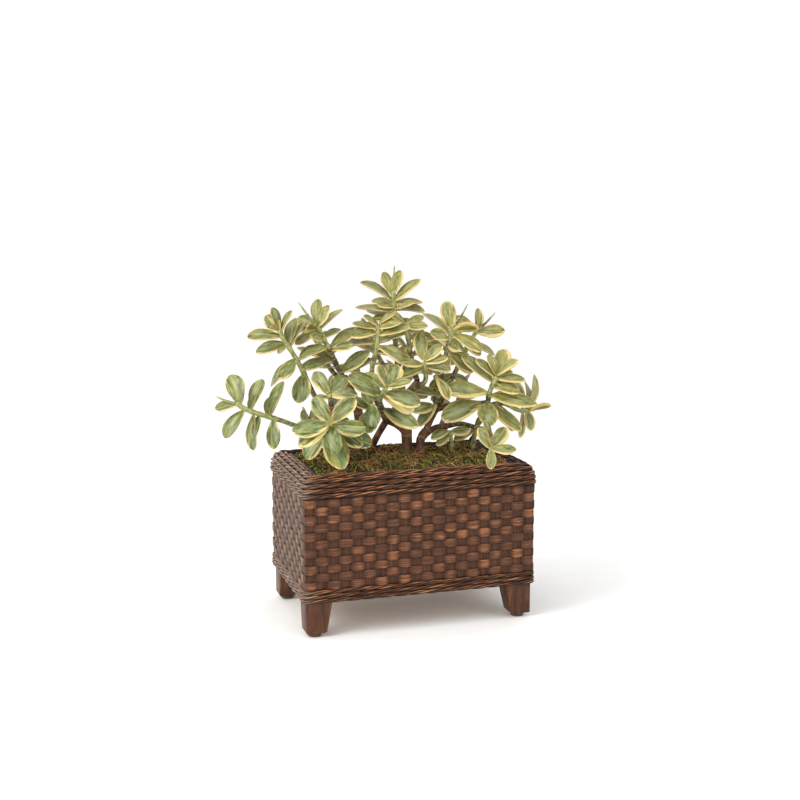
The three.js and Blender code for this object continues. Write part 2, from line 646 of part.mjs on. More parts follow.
// A round bar through a line of points, with its radius at the first and the last of them
function tube(points, rootRadius, tipRadius = rootRadius, sides = 5) {
  const curve = new THREE.CatmullRomCurve3(points, false, 'centripetal');
  const last = points.length - 1;
  const frames = curve.computeFrenetFrames(last, false);
  const rings = [];
  for (let i = 0; i <= last; i += 1) {
    const radius = rootRadius + ((tipRadius - rootRadius) * i) / last;
    const middle = curve.getPointAt(i / last);
    const ringPoints = [];
    for (let k = 0; k < sides; k += 1) {
      const angle = (k / sides) * 2 * Math.PI;
      ringPoints.push(middle.clone()
        .addScaledVector(frames.normals[i], radius * Math.cos(angle))
        .addScaledVector(frames.binormals[i], radius * Math.sin(angle)));
    }
    rings.push(ringPoints);
  }
  return loft(rings);
}

// Places already filled, so that a new leaf grows where there is room. A leaf is held as points
// over its blade and a stem as points along its middle, each with the room that it needs.
const filled = [];

function bladePoints(leaf) {
  const side = new THREE.Vector3().crossVectors(leaf.axis, leaf.up);
  const points = [];
  for (const share of [0.2, 0.35, 0.5, 0.65, 0.8, 0.95]) {
    const half = halfWidth(leaf, share);
    for (const across of [-0.85, -0.3, 0.3, 0.85]) {
      const point = midPoint(leaf, share).addScaledVector(side, across * half);
      points.push({ point, share });
    }
  }
  return points;
}

// True inside the planter or close over its rim and moss
function inPlanter(point) {
  const out = Math.max(Math.abs(point.x) - BASKET_LENGTH / 2, Math.abs(point.y) - BASKET_DEPTH / 2);
  if (point.z < 236) return out < 8;
  if (point.z < 250) return out < 3;
  return point.z < 261 && out < -1;
}

function hasRoom(blade, owner) {
  for (const { point, share } of blade) {
    if (inPlanter(point)) return false;
    for (const other of filled) {
      const own = other.owner === owner;
      if (own && (share < 0.4 || other.share < 0.4)) continue;
      const room = own ? Math.min(other.room, SIBLING_CLEAR) : other.room;
      if (point.distanceToSquared(other.point) < room * room) return false;
    }
  }
  return true;
}

function fillStem(points, radius, owner) {
  const length = points.slice(1).reduce((sum, point, i) => sum + point.distanceTo(points[i]), 0);
  const count = Math.ceil(length / 6);
  for (let i = 0; i <= count; i += 1) {
    filled.push({ point: alongLine(points, i / count), share: 0, room: radius + 3.2, owner });
  }
}

// A leaf that would touch another is leant out of its way, and is left off if nothing helps
const LEANS = [0, 12, -12, 24, -24, 36, -36, 48, -48];

function growLeaf(owner, root, stemDirection, clock, lean, length, face, broad, arch) {
  for (const size of [1, 0.86]) {
    for (const extra of LEANS) {
      const axis = viewDirection(clock, lean + extra);
      const up = faceDirection(axis, stemDirection, face);
      const leaf = { root, axis, up, length: length * size, broad, arch };
      const blade = bladePoints(leaf);
      if (hasRoom(blade, owner)) {
        for (const { point, share } of blade) filled.push({ point, share, room: LEAF_CLEAR, owner });
        return leaf;
      }
    }
  }
  return null;
}

function growShoot(shoot) {
  const points = shoot.stem.map(vec);
  const leaves = [];
  const buds = [];
  for (const [along, clock, lean, length, face, broad = LEAF_WIDTH] of shoot.leaves) {
    const arch = draw(0.02, 0.08);
    const heading = clock + draw(-2, 2);
    const rise = lean + draw(-5, 5);
    const root = alongLine(points, Math.min(along, 0.985));
    const below = alongLine(points, Math.max(along - 0.15, 0));
    const stemDirection = root.clone().sub(below).normalize();
    const leaf = growLeaf(shoot.name, root, stemDirection, heading, rise, length, face, broad, arch);
    if (leaf) leaves.push(leaf);
  }
  if (shoot.bud) {
    const [clock, lean, length] = shoot.bud;
    buds.push([alongLine(points, 0.985), viewDirection(clock, lean), length]);
  }
  return { points, leaves, buds };
}

// The leaves of a shoot on the far side, by the rule of crossed pairs
function crossedPairs({ stem, pairs, longest, twist }) {
  const points = stem.map(vec);
  const rows = [];
  for (let i = 0; i < pairs; i += 1) {
    const along = 1 - i * 0.17;
    const length = longest * Math.min(0.55 + 0.2 * i, 1);
    const lift = 62 - 20 * i;
    for (const half of [0, 180]) {
      const heading = rad(twist + 90 * i + half + draw(-12, 12));
      const rise = rad(lift + draw(-8, 8));
      const axis = new THREE.Vector3(
        Math.cos(heading) * Math.cos(rise),
        Math.sin(heading) * Math.cos(rise),
        Math.sin(rise),
      );
      const lean = THREE.MathUtils.radToDeg(Math.asin(axis.dot(viewBack)));
      const clock = THREE.MathUtils.radToDeg(Math.atan2(axis.dot(viewUp), axis.dot(viewRight)));
      rows.push([along, clock, lean, length, 28]);
    }
  }
  return { points, rows };
}

for (const { name, limbs } of trunks) {
  for (const [thickness, line] of limbs) fillStem(line.map(vec), thickness / 2, name);
}
for (const { name, stem } of [...shoots, ...backShoots]) fillStem(stem.map(vec), STEM_TIP, name);

const trunkSolids = trunks.map(({ limbs }) => limbs
  .map(([thickness, line]) => toSolid(tube(line.map(vec), thickness / 2, thickness / 2, 8)))
  .reduce((whole, limb) => whole.add(limb)));
trunks.forEach(({ name }, i) => addPart(name, toGeometry(trunkSolids[i]), materials.bark));

// Room for the trunks in what grows from them, one clearance wider than they are
const trunkRoom = trunks.flatMap(({ limbs }) => limbs)
  .map(([thickness, line]) => toSolid(tube(line.map(vec), thickness / 2 + GAP, thickness / 2 + GAP, 8)))
  .reduce((whole, limb) => whole.add(limb));

const allShoots = [
  ...shoots,
  ...backShoots.map((shoot) => ({ ...shoot, leaves: crossedPairs(shoot).rows })),
];
for (const shoot of allShoots) {
  const { points, leaves, buds } = growShoot(shoot);
  let solid = toSolid(tube(points, shoot.root ?? STEM_ROOT, STEM_TIP));
  for (const leaf of leaves) solid = solid.add(toSolid(leafGeometry(leaf)));
  for (const [root, axis, length] of buds) solid = solid.add(toSolid(budGeometry(root, axis, length)));
  addPart(shoot.name, toGeometry(solid.subtract(trunkRoom)), materials.leaf);
}

// Soil and moss, with plain holes where the trunks and the two low shoots stand

const holes = [
  [-64, 34, 7.5],
  [18, 17, 9.5],
  [-28, 80, 5.5],
  [35, -5, 8.8],
  [92, 0, STEM_ROOT],
  [135, 20, STEM_ROOT],
];
const holeSolids = holes
  .map(([x, y, radius]) => toSolid(rod(x, y, ROOT_DEPTH - GAP, MOSS_TOP + 30, radius + 0.8, 10)))
  .reduce((whole, hole) => whole.add(hole), trunkRoom);

const soil = toSolid(slab(boardOffset - LINER - GAP, linerFoot + LINER + GAP, SOIL_TOP));
addPart('soil', toGeometry(soil.subtract(holeSolids)), materials.soil);

// Height of the moss, with lumps that die away towards the rim
function mossHeight(x, y) {
  const lumps = Math.sin(x * 0.071 + 1.3) * Math.cos(y * 0.093 - 0.4) + 0.6 * Math.sin(x * 0.037 - y * 0.061);
  const edge = Math.min(160 - Math.abs(x), 91 - Math.abs(y));
  const fade = Math.min(edge / 24, 1);
  return MOSS_TOP + 1 + (lumps * MOSS_LUMP - 3 * (1 - fade)) * fade - 4 * (1 - fade);
}

function mossGeometry() {
  const length = BASKET_LENGTH + 2 * MOSS_EDGE;
  const depth = BASKET_DEPTH + 2 * MOSS_EDGE;
  const foot = SOIL_TOP + GAP;
  const geometry = new THREE.BoxGeometry(length, depth, 1, 16, 9, 1);
  const position = geometry.attributes.position;
  for (let i = 0; i < position.count; i += 1) {
    const top = position.getZ(i) > 0;
    position.setZ(i, top ? mossHeight(position.getX(i), position.getY(i)) : foot);
  }
  return geometry;
}

addPart('moss', toGeometry(toSolid(mossGeometry()).subtract(holeSolids)), materials.moss);

// The origin goes to the middle of the underside
part.updateMatrixWorld(true);
const box = new THREE.Box3().setFromObject(part, true);
const centre = box.getCenter(new THREE.Vector3());
part.position.set(-centre.x, -centre.y, -box.min.z);
part.updateMatrixWorld(true);

export default part;
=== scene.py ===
# A potted jade plant with cream-edged leaves, in a woven rattan planter on four short wooden legs.
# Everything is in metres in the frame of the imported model: X runs along the long front, +Y points to
# the back, and the floor is at Z = 0. The sections follow the object as it is put together.

import math

import bmesh
import bpy
import numpy as np
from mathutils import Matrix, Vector, noise


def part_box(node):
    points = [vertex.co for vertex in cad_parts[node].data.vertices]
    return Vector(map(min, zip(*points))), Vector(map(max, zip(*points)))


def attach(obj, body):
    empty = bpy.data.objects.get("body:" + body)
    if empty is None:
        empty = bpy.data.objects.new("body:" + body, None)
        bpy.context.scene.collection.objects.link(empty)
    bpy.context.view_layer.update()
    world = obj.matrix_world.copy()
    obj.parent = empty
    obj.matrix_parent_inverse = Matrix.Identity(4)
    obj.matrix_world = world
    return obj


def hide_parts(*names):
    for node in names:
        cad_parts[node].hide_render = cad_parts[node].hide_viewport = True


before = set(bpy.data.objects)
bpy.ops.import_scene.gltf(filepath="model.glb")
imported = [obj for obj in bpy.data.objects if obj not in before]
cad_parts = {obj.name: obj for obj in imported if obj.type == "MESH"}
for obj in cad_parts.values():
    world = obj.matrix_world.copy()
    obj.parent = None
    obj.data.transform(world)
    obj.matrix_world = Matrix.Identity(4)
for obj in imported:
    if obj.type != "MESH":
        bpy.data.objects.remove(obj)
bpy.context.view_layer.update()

# The planter is measured in millimetres from its own middle at the floor. MM turns a size into
# metres and MIDDLE is where that middle stands in the model's frame.
MM = 0.001
wall_low, wall_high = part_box("planter_walls")
MIDDLE = (wall_low + wall_high) / 2


def in_place(x, y, z):
    return Vector((x * MM + MIDDLE.x, y * MM + MIDDLE.y, z * MM))


# The four legs are stained hardwood blocks, upright on their outer faces and tapered on their inner
# ones, with softened edges. A screw down through the base board holds each, and a glide is under it.
LEG_TOP, LEG_FOOT, LEG_INSET = 42, 33, 3
LEG_LOW, LEG_HIGH = 5.9, 56
LEG_EDGE, LEG_TOE = 1.6, 4.5  # softening of the upright edges and of the edges round the foot
PLACES = {"front_left": (-1, -1), "front_right": (1, -1), "back_left": (-1, 1), "back_right": (1, 1)}
BASKET_LENGTH, BASKET_DEPTH = 380, 242


def new_finish(name):
    """A new finish. The helpers after this one all work on the newest finish."""
    global in_hand
    in_hand = bpy.data.materials.new(name)
    in_hand.use_nodes = True
    in_hand.node_tree.nodes.clear()
    return in_hand


def add(kind, inputs=None, **settings):
    """A new node. An input is a value, or the output of another node."""
    node = in_hand.node_tree.nodes.new("ShaderNode" + kind)
    for key, value in settings.items():
        setattr(node, key, value)
    for key, value in (inputs or {}).items():
        if isinstance(value, bpy.types.NodeSocket):
            in_hand.node_tree.links.new(value, node.inputs[key])
        else:
            node.inputs[key].default_value = value
    return node


def on_piece():
    """Where a point lies on its piece."""
    return add("TexCoord").outputs["Object"]


def written(layer, kind="Fac"):
    """What the shape carries at a point in one of its layers."""
    return add("Attribute", attribute_name=layer).outputs[kind]


def axes(vector):
    return add("SeparateXYZ", {0: vector}).outputs


def tint(red, green, blue):
    """A colour as it is read off a screen, 0 to 255, turned to light."""
    light = [((c / 255 + 0.055) / 1.055) ** 2.4 if c > 10 else c / 3295 for c in (red, green, blue)]
    return (*light, 1)


def ramp(amount, *stops):
    """A colour that runs through the given stops, each a place from 0 to 1 and a colour."""
    node = add("ValToRGB", {0: amount})
    bar = node.color_ramp
    while len(bar.elements) < len(stops):
        bar.elements.new(0.5)
    for element, (place, colour) in zip(bar.elements, stops):
        element.position = place
        element.color = colour
    return node.outputs[0]


def spread(value, low, high, to_low=0.0, to_high=1.0):
    """A value between low and high made to run from to_low to to_high."""
    inputs = {"Value": value, "From Min": low, "From Max": high, "To Min": to_low, "To Max": to_high}
    return add("MapRange", inputs).outputs[0]


def maths(operation, a, b):
    return add("Math", {0: a, 1: b}, operation=operation).outputs[0]


def plus(first, *more):
    for value in more:
        first = maths("ADD", first, value)
    return first


def minus(a, b):
    return maths("SUBTRACT", a, b)


def times(a, b):
    return maths("MULTIPLY", a, b)


def mix(share, first, second):
    return add("Mix", {"Factor": share, "A": first, "B": second}, data_type="RGBA").outputs["Result"]


def cloud(where, scale, detail=3.0, stretch=(1, 1, 1), roughness=0.55, shift=(0, 0, 0)):
    """Soft noise over a piece, from 0 to 1, drawn out along its axes."""
    place = add("Mapping", {"Vector": where, "Scale": stretch, "Location": shift}).outputs[0]
    inputs = {"Vector": place, "Scale": scale, "Detail": detail, "Roughness": roughness}
    return add("TexNoise", inputs).outputs[0]


def coat(colour, roughness, height=None, depth=0.0005, strength=0.6, **more):
    """The surface itself: its colour, its roughness and its relief."""
    inputs = {"Base Color": colour, "Roughness": roughness}
    if height is not None:
        relief = {"Height": height, "Distance": depth, "Strength": strength}
        inputs["Normal"] = add("Bump", relief).outputs[0]
    inputs.update({key.replace("_", " "): value for key, value in more.items()})
    shader = add("BsdfPrincipled", inputs).outputs[0]
    add("OutputMaterial", {"Surface": shader})
    return in_hand


def wood(name, dark, light, stretch):
    """Stained wood with its grain along the axis that is stretched least."""
    new_finish(name)
    where = on_piece()
    figure = cloud(where, 1.0, 5.0, stretch, 0.62)
    pores = cloud(where, 1.0, 2.0, tuple(s * 4.5 for s in stretch), 0.5)
    cast = cloud(where, 22.0, 2.0)
    shade = plus(times(figure, 0.62), times(cast, 0.38))
    base = ramp(shade, (0.36, dark), (0.52, blend(dark, light, 0.45)), (0.66, light))
    colour = mix(spread(pores, 0.52, 0.68, 0.0, 0.55), base, blend(dark, (0, 0, 0, 1), 0.5))
    return coat(colour, spread(figure, 0.3, 0.7, 0.5, 0.34), pores, 0.0004, 0.35, Specular_IOR_Level=0.25)


def blend(first, second, share):
    return tuple(a + (b - a) * share for a, b in zip(first, second))


def new_shape(vectors, numbers):
    """An empty shape, and the layers by these names that its points carry."""
    bm = bmesh.new()
    layers = [bm.verts.layers.float_vector.new(name) for name in vectors]
    return bm, *layers, *(bm.verts.layers.float.new(name) for name in numbers)


def finish_piece(name, bm, finishes, slot, *nodes):
    """The made shape becomes a piece of the part, in place of the solids named."""
    mesh = bpy.data.meshes.new(name)
    bm.to_mesh(mesh)
    bm.free()
    mesh.shade_smooth()
    for finish in finishes:
        mesh.materials.append(finish)
    piece = bpy.data.objects.new(name, mesh)
    bpy.context.scene.collection.objects.link(piece)
    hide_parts(*nodes)
    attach(piece, "root")
    return piece


def dress(finish, *nodes):
    """Solids that are right as they are only get their finish."""
    for node in nodes:
        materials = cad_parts[node].data.materials
        materials.clear()
        materials.append(finish)


def soften(bm, edges, width, segments):
    bmesh.ops.bevel(bm, geom=edges, offset=width * MM, segments=segments, profile=0.5, affect="EDGES",
                    material=-1)


leg_wood = wood("leg_wood", tint(54, 31, 19), tint(124, 75, 48), (70, 70, 6))
for place, (side_x, side_y) in PLACES.items():
    bm = bmesh.new()
    block = bmesh.ops.create_cube(bm, size=1)["verts"]
    for vert in block:
        size = LEG_FOOT if vert.co.z < 0 else LEG_TOP
        # in x and y, 0.5 is the outer face and -0.5 the inner one
        x = (BASKET_LENGTH / 2 - LEG_INSET - size * (0.5 - vert.co.x)) * side_x
        y = (BASKET_DEPTH / 2 - LEG_INSET - size * (0.5 - vert.co.y)) * side_y
        vert.co = in_place(x, y, LEG_LOW if vert.co.z < 0 else LEG_HIGH)
    bmesh.ops.recalc_face_normals(bm, faces=bm.faces)
    foot = min(vert.co.z for vert in bm.verts)
    toes = [edge for edge in bm.edges if all(vert.co.z < foot + 1e-5 for vert in edge.verts)]
    soften(bm, toes, LEG_TOE, 3)
    upright = [edge for edge in bm.edges if edge.calc_length() > 30 * MM and not edge.is_boundary
               and edge.calc_face_angle(0) > 1.0 and abs(edge.verts[0].co.z - edge.verts[1].co.z) > 20 * MM]
    soften(bm, upright, LEG_EDGE, 2)
    leg = finish_piece(f"leg_{place}_turned", bm, [leg_wood], "leg_wood", f"leg_{place}")
    leg.data.set_sharp_from_angle(angle=math.radians(35))


# Under each leg is a round nylon glide, and over it the head of its screw. Both are plain turned
# parts, so the solids stay and only get their finish.
glide_nylon = new_finish("glide_nylon")
where = on_piece()
specks = cloud(where, 900.0, 2.0)
coat(ramp(specks, (0.35, tint(66, 45, 34)), (0.7, tint(104, 74, 56))), 0.5, specks, 0.0002)
dress(glide_nylon, *(f"glide_{place}" for place in PLACES))

screw_steel = new_finish("screw_steel")
where = on_piece()
marks = cloud(where, 260.0, 3.0, (1, 1, 6))
coat(ramp(marks, (0.3, tint(130, 130, 128)), (0.7, tint(196, 196, 192))),
     spread(marks, 0.3, 0.7, 0.28, 0.5), marks, 0.0002, Metallic=1.0)
dress(screw_steel, *(f"leg_screw_{place}" for place in PLACES))


# The base board, the frame at the foot of the wall and the hoop inside the rim are plain softwood
# that the rattan hides. The board drops into the frame and carries the liner.
hidden_wood = wood("frame_wood", tint(120, 92, 62), tint(176, 141, 98), (6, 60, 60))
dress(hidden_wood, "base_board", "base_frame", "rim_core")


# The woven wall is flat split rattan: eleven rows wound round sixty-six upright stakes, over one and
# under the next, on a thin inner shell. Its colour runs from dark where a strip dips to light on its crowns:
# painted shade in the dips and painted light on the crowns, together with stain that lies in the dips and
# is rubbed off the crowns.
WALL_LOW, WALL_HIGH = 77.4, 220.8
ROWS = 11
ROW = (WALL_HIGH - WALL_LOW) / ROWS
FRONT_STAKES, SIDE_STAKES = 20, 13
STAKES = 2 * (FRONT_STAKES + SIDE_STAKES)
ROW_WIDTH, STAKE_WIDTH = 13.6, 15.8
STRIP_THICK = 1.1
WALL_CORNER = 3.0
ROW_CROWN, STAKE_CROWN = 0.45, 0.4  # how much rounder a strip is in its middle than at its edges
ROW_DRIFT, STAKE_LEAN = 0.7, 0.5
ROW_OUT, ROW_WAVE = 0.2, 1.4  # how far out from the wall's line a row lies, and how far it waves
STAKE_OUT, STAKE_WAVE = -0.9, 0.25
SHELL_OUT = -4.5

seed = 20117


def chance(low=0.0, high=1.0):
    """Draws that are the same on every run."""
    global seed
    seed = (seed * 48271) % 2147483647
    return low + (high - low) * seed / 2147483647


def round_frame(run, half_x, half_y, corner):
    """The point at a distance round a rectangle with rounded corners, and the way out there.
    It starts at the front left corner and goes along the front to the right."""
    sides = (2 * half_x, 2 * half_y, 2 * half_x, 2 * half_y)
    run %= sum(sides)
    starts = ((-half_x, -half_y), (half_x, -half_y), (half_x, half_y), (-half_x, half_y))
    for k, side in enumerate(sides):
        if run <= side:
            break
        run -= side
    along = ((1, 0), (0, 1), (-1, 0), (0, -1))[k]
    out = (along[1], -along[0])
    reach = min(run, side - run)
    if reach >= corner:
        x = starts[k][0] + along[0] * run
        y = starts[k][1] + along[1] * run
        return Vector((x, y, 0)), Vector((*out, 0))
    # the turn starts one corner radius before the sharp corner and ends as far after it
    sign = -1 if run < side / 2 else 1
    angle = math.radians(45) * (1 - reach / corner)
    corner_x = starts[k][0] + along[0] * (0 if sign < 0 else side)
    corner_y = starts[k][1] + along[1] * (0 if sign < 0 else side)
    centre = Vector((corner_x, corner_y, 0)) - corner * (Vector((*out, 0)) + sign * Vector((*along, 0)))
    way = math.cos(angle) * Vector((*out, 0)) + sign * math.sin(angle) * Vector((*along, 0))
    return centre + corner * way, way


def wall_point(run, out, height):
    point, way = round_frame(run, BASKET_LENGTH / 2, BASKET_DEPTH / 2, WALL_CORNER)
    point += way * out
    return in_place(point.x, point.y, height)


def stake_run(number):
    """How far round the wall the middle of a stake is; whole numbers and a half are middles."""
    front, side = BASKET_LENGTH / FRONT_STAKES, BASKET_DEPTH / SIDE_STAKES
    turns, left = divmod(number, STAKES)
    run = turns * 2 * (BASKET_LENGTH + BASKET_DEPTH)
    for count, pitch in ((FRONT_STAKES, front), (SIDE_STAKES, side)) * 2:
        run += min(left, count) * pitch
        left -= min(left, count)
    return run


def swell(turn):
    """The height of a strip that goes over and under: flat on its crowns, steep between them."""
    wave = math.cos(turn)
    return math.copysign(abs(wave) ** 0.5, wave)


def weave_strip(bm, lay, raised, stations, across, place, tone):
    """A flat strip: place gives the point at a station and a share across, and how high it stands."""
    grid = bmesh.ops.create_grid(bm, x_segments=len(stations) - 1, y_segments=across, size=0.5)["verts"]
    for k, vert in enumerate(grid):
        j, i = divmod(k, len(stations))
        share = 2 * j / across - 1
        run, height, vert.co = place(stations[i], share)
        vert[lay] = (run, share, tone)
        vert[raised] = height


bm, lay, raised = new_shape(["lay"], ["raised"])
for row in range(ROWS):
    middle = WALL_LOW + ROW * (row + 0.5)
    tone = row * 1.37 + 0.2
    swells = [chance(0.35, 1.25) for _ in range(STAKES)]
    drifts = [chance(-ROW_DRIFT, ROW_DRIFT) for _ in range(STAKES)]

    def row_place(number, share, row=row, middle=middle, swells=swells, drifts=drifts):
        stake = int(number) % STAKES
        wave = swell(math.pi * (number - 0.5 + row))
        crown = ROW_CROWN * (1 - share * share) * (0.6 + 0.4 * wave)
        out = ROW_OUT + ROW_WAVE * wave * (swells[stake] if wave > 0 else 1) + crown
        width = ROW_WIDTH * (0.49 + 0.03 * wave * swells[stake])
        # a row drifts a little up and down from stake to stake, without a step
        ease = 0.5 - 0.5 * math.cos(math.pi * (number % 1.0) * 2)
        height = middle + share * width + drifts[stake] * ease
        run = stake_run(number)
        return run * MM, wave * swells[stake] if wave > 0 else wave, wall_point(run, out, height)

    # the strip is started and ended at the back left corner, where its two ends meet
    stations = [STAKES - SIDE_STAKES + k / 6 for k in range(STAKES * 6 + 1)]
    weave_strip(bm, lay, raised, stations, 4, row_place, tone)
bmesh.ops.remove_doubles(bm, verts=bm.verts, dist=1e-6)
for stake in range(STAKES):
    tone = 40 + stake * 1.71
    lean = chance(-STAKE_LEAN, STAKE_LEAN)
    middle = stake_run(stake + 0.5)

    def stake_place(height, share, stake=stake, lean=lean, middle=middle):
        wave = -swell(math.pi * ((height - WALL_LOW) / ROW - 0.5 + stake))
        crown = STAKE_CROWN * (1 - share * share)
        out = STAKE_OUT + STAKE_WAVE * wave + crown
        point = wall_point(middle - share * STAKE_WIDTH / 2 + lean, out, height)
        return height * MM, 0.25 * wave - 0.45, point

    steps = ROWS * 5
    stations = [WALL_LOW + 0.2 + (WALL_HIGH - WALL_LOW - 0.4) * k / steps for k in range(steps + 1)]
    weave_strip(bm, lay, raised, stations, 3, stake_place, tone)


def shell_place(number, share):
    height = (WALL_LOW + WALL_HIGH) / 2 + share * (WALL_HIGH - WALL_LOW - 1) / 2
    return number, -1.5, wall_point(stake_run(number), SHELL_OUT, height)


shell_start = len(bm.verts)
stations = [STAKES - SIDE_STAKES + k / 2 for k in range(STAKES * 2 + 1)]
weave_strip(bm, lay, raised, stations, 2, shell_place, 99.0)
bm.verts.ensure_lookup_table()
bmesh.ops.remove_doubles(bm, verts=bm.verts[shell_start:], dist=1e-6)

strip_stain = new_finish("stained_rattan")
where = written("lay", "Vector")
height = written("raised")
grain = cloud(where, 1.0, 3.0, (26, 5.2, 1.9), 0.62)
fine_grain = cloud(where, 1.0, 2.0, (22, 8.0, 2.3), 0.6)
patches = cloud(where, 1.0, 2.0, (46, 0.5, 2.9), 0.5)
# painted shade and light with wear: the lower a strip lies the darker it is painted, and the stakes lie low
shade_and_wear = plus(spread(height, -0.9, 1.1, 0.1, 0.82), spread(patches, 0.35, 0.65, -0.12, 0.16),
              spread(grain, 0.3, 0.7, -0.27, 0.27))
base = ramp(shade_and_wear, (0.0, tint(40, 24, 16)), (0.25, tint(73, 47, 33)), (0.55, tint(87, 57, 41)),
            (0.8, tint(113, 73, 50)), (1.0, tint(158, 104, 70)))
lines = spread(fine_grain, 0.5, 0.64, 0.0, 0.6)
colour = mix(lines, base, tint(46, 28, 18))
# painted reflection: the left end, seen at a glancing angle, is painted pale grey-beige as if it reflected
# the light
glancing_sheen = spread(axes(on_piece())[0], MIDDLE.x - 0.187, MIDDLE.x - 0.1893, 0.0, 0.4)
colour = mix(glancing_sheen, colour, tint(104, 88, 76))
coat(colour, spread(height, -0.9, 0.8, 0.7, 0.4), fine_grain, 0.0006, 0.6, Specular_IOR_Level=0.16)
walls = finish_piece("woven_walls", bm, [strip_stain], "rattan", "planter_walls")
body = walls.modifiers.new("strip_thickness", "SOLIDIFY")
body.thickness = STRIP_THICK * MM
body.offset = -1


# The rim is seven cords laid side by side over a wooden hoop, from the top of the wall over to the
# inside, and the foot has three more. Each is three round canes laid up with a long, shallow twist.
RIM_CORDS = [(1.5, 225), (1, 232.8), (-0.6, 240.5), (-4, 247.6), (-10.5, 252), (-18.4, 251.4), (-26.1, 249)]
BASE_CORDS = [(0.7, 60), (0.7, 66.9), (0.7, 73.8)]
CANES = 3
TWIST = 78  # length of one whole turn of a cane
CORD_STEPS = 18  # steps along a cord to one turn
CANE_SIDES = 7
RIM_RADIUS, BASE_RADIUS = 4.05, 3.6


def roll_ring(bm, lay, raised, centres, ways_out, radius, sides, places):
    """A flat sheet rolled up round a closed line of centres. Its last centre lies on its first one."""
    count = len(centres)
    grid = bmesh.ops.create_grid(bm, x_segments=count - 1, y_segments=sides, size=0.5)["verts"]
    for k, vert in enumerate(grid):
        j, i = divmod(k, count)
        before = centres[i - 1] if i else centres[-2]
        after = centres[i + 1] if i < count - 1 else centres[1]
        ahead = (after - before).normalized()
        first = (ways_out[i] - ahead * ways_out[i].dot(ahead)).normalized()
        second = ahead.cross(first)
        angle = 2 * math.pi * (j % sides) / sides
        way = math.cos(angle) * first + math.sin(angle) * second
        vert.co = centres[i] + radius * way
        vert[lay] = (places[i], math.cos(angle), math.sin(angle))
        # painted highlight and wear: a cane is marked for light and wear on its outer and upper sides, where
        # it catches the light
        vert[raised] = way.dot(ways_out[i]) * 0.55 + way.z * 0.75


def laid_cord(node, out, height, radius):
    bm, lay, raised = new_shape(["lay"], ["raised"])
    half_x, half_y = BASKET_LENGTH / 2 + out, BASKET_DEPTH / 2 + out
    around = 4 * (half_x + half_y)
    turns = round(around / TWIST)
    steps = turns * CORD_STEPS
    cane = radius * 0.5
    phase = chance(0, 2 * math.pi)
    for number in range(CANES):
        centres, ways_out, places = [], [], []
        tone = chance(0, 50)
        for i in range(steps + 1):
            # each cord is started and ended in the middle of the back
            run = around * i / steps - 2 * half_y - half_x
            point, way = round_frame(run, half_x, half_y, max(WALL_CORNER + 4 + out, 5))
            angle = phase + 2 * math.pi * (turns * i / steps + number / CANES)
            ways_out.append(way)
            place = point + way * (radius - cane) * math.cos(angle)
            centres.append(in_place(place.x, place.y, height + (radius - cane) * math.sin(angle)))
            places.append(run * MM + tone)
        roll_ring(bm, lay, raised, centres, ways_out, cane * MM, CANE_SIDES, places)
    bmesh.ops.remove_doubles(bm, verts=bm.verts, dist=1e-6)
    bmesh.ops.recalc_face_normals(bm, faces=bm.faces)
    finish_piece(f"{node}_laid", bm, [cane_stain], "cord", node)


cane_stain = new_finish("stained_cane")
where = written("lay", "Vector")
height = written("raised")
fibres = cloud(where, 1.0, 3.0, (40, 4.0, 4.0), 0.6)
stretches = cloud(where, 1.0, 2.0, (24, 0.0, 0.0), 0.5)
# painted highlight and wear: each cane is painted light on its upper, outer side and dark below
wear_and_light = plus(spread(height, 0.2, 0.96), spread(stretches, 0.35, 0.65, -0.3, 0.2),
            spread(fibres, 0.3, 0.7, -0.22, 0.22))
colour = ramp(wear_and_light, (0.0, tint(38, 24, 17)), (0.5, tint(62, 40, 28)), (0.74, tint(92, 57, 37)),
              (0.88, tint(136, 85, 53)), (1.0, tint(194, 134, 88)))
# painted reflection: the cords at the left end are painted pale grey-beige, most on their lit sides
glancing_sheen = spread(axes(on_piece())[0], MIDDLE.x - 0.166, MIDDLE.x - 0.184, 0.0, 0.42)
colour = mix(times(glancing_sheen, spread(wear_and_light, 0.3, 0.8, 0.3, 1.0)), colour, tint(160, 142, 124))
coat(colour, spread(wear_and_light, 0.0, 1.0, 0.62, 0.34), fibres, 0.0003, 0.5, Specular_IOR_Level=0.22)

for part, cords, radius in (("rim", RIM_CORDS, RIM_RADIUS), ("base", BASE_CORDS, BASE_RADIUS)):
    for number, (out, height_mm) in enumerate(cords, 1):
        laid_cord(f"{part}_cord_{number}", out, height_mm, radius)


# A thin black liner stands on the base board and holds the soil. Both are hidden under the moss, so
# the solids stay and only get their finish.
liner_black = new_finish("liner_plastic")
where = on_piece()
scuffs = cloud(where, 120.0, 3.0, (1, 1, 4))
coat(ramp(scuffs, (0.35, tint(14, 14, 14)), (0.75, tint(44, 43, 41))),
     spread(scuffs, 0.3, 0.7, 0.35, 0.6), scuffs, 0.0002)
dress(liner_black, "liner")

potting_soil = new_finish("potting_soil")
where = on_piece()
crumbs = cloud(where, 260.0, 5.0, roughness=0.7)
coat(ramp(crumbs, (0.3, tint(26, 18, 12)), (0.55, tint(58, 42, 28)), (0.8, tint(104, 82, 56))),
     0.95, crumbs, 0.002, 0.9)
dress(potting_soil, "soil")


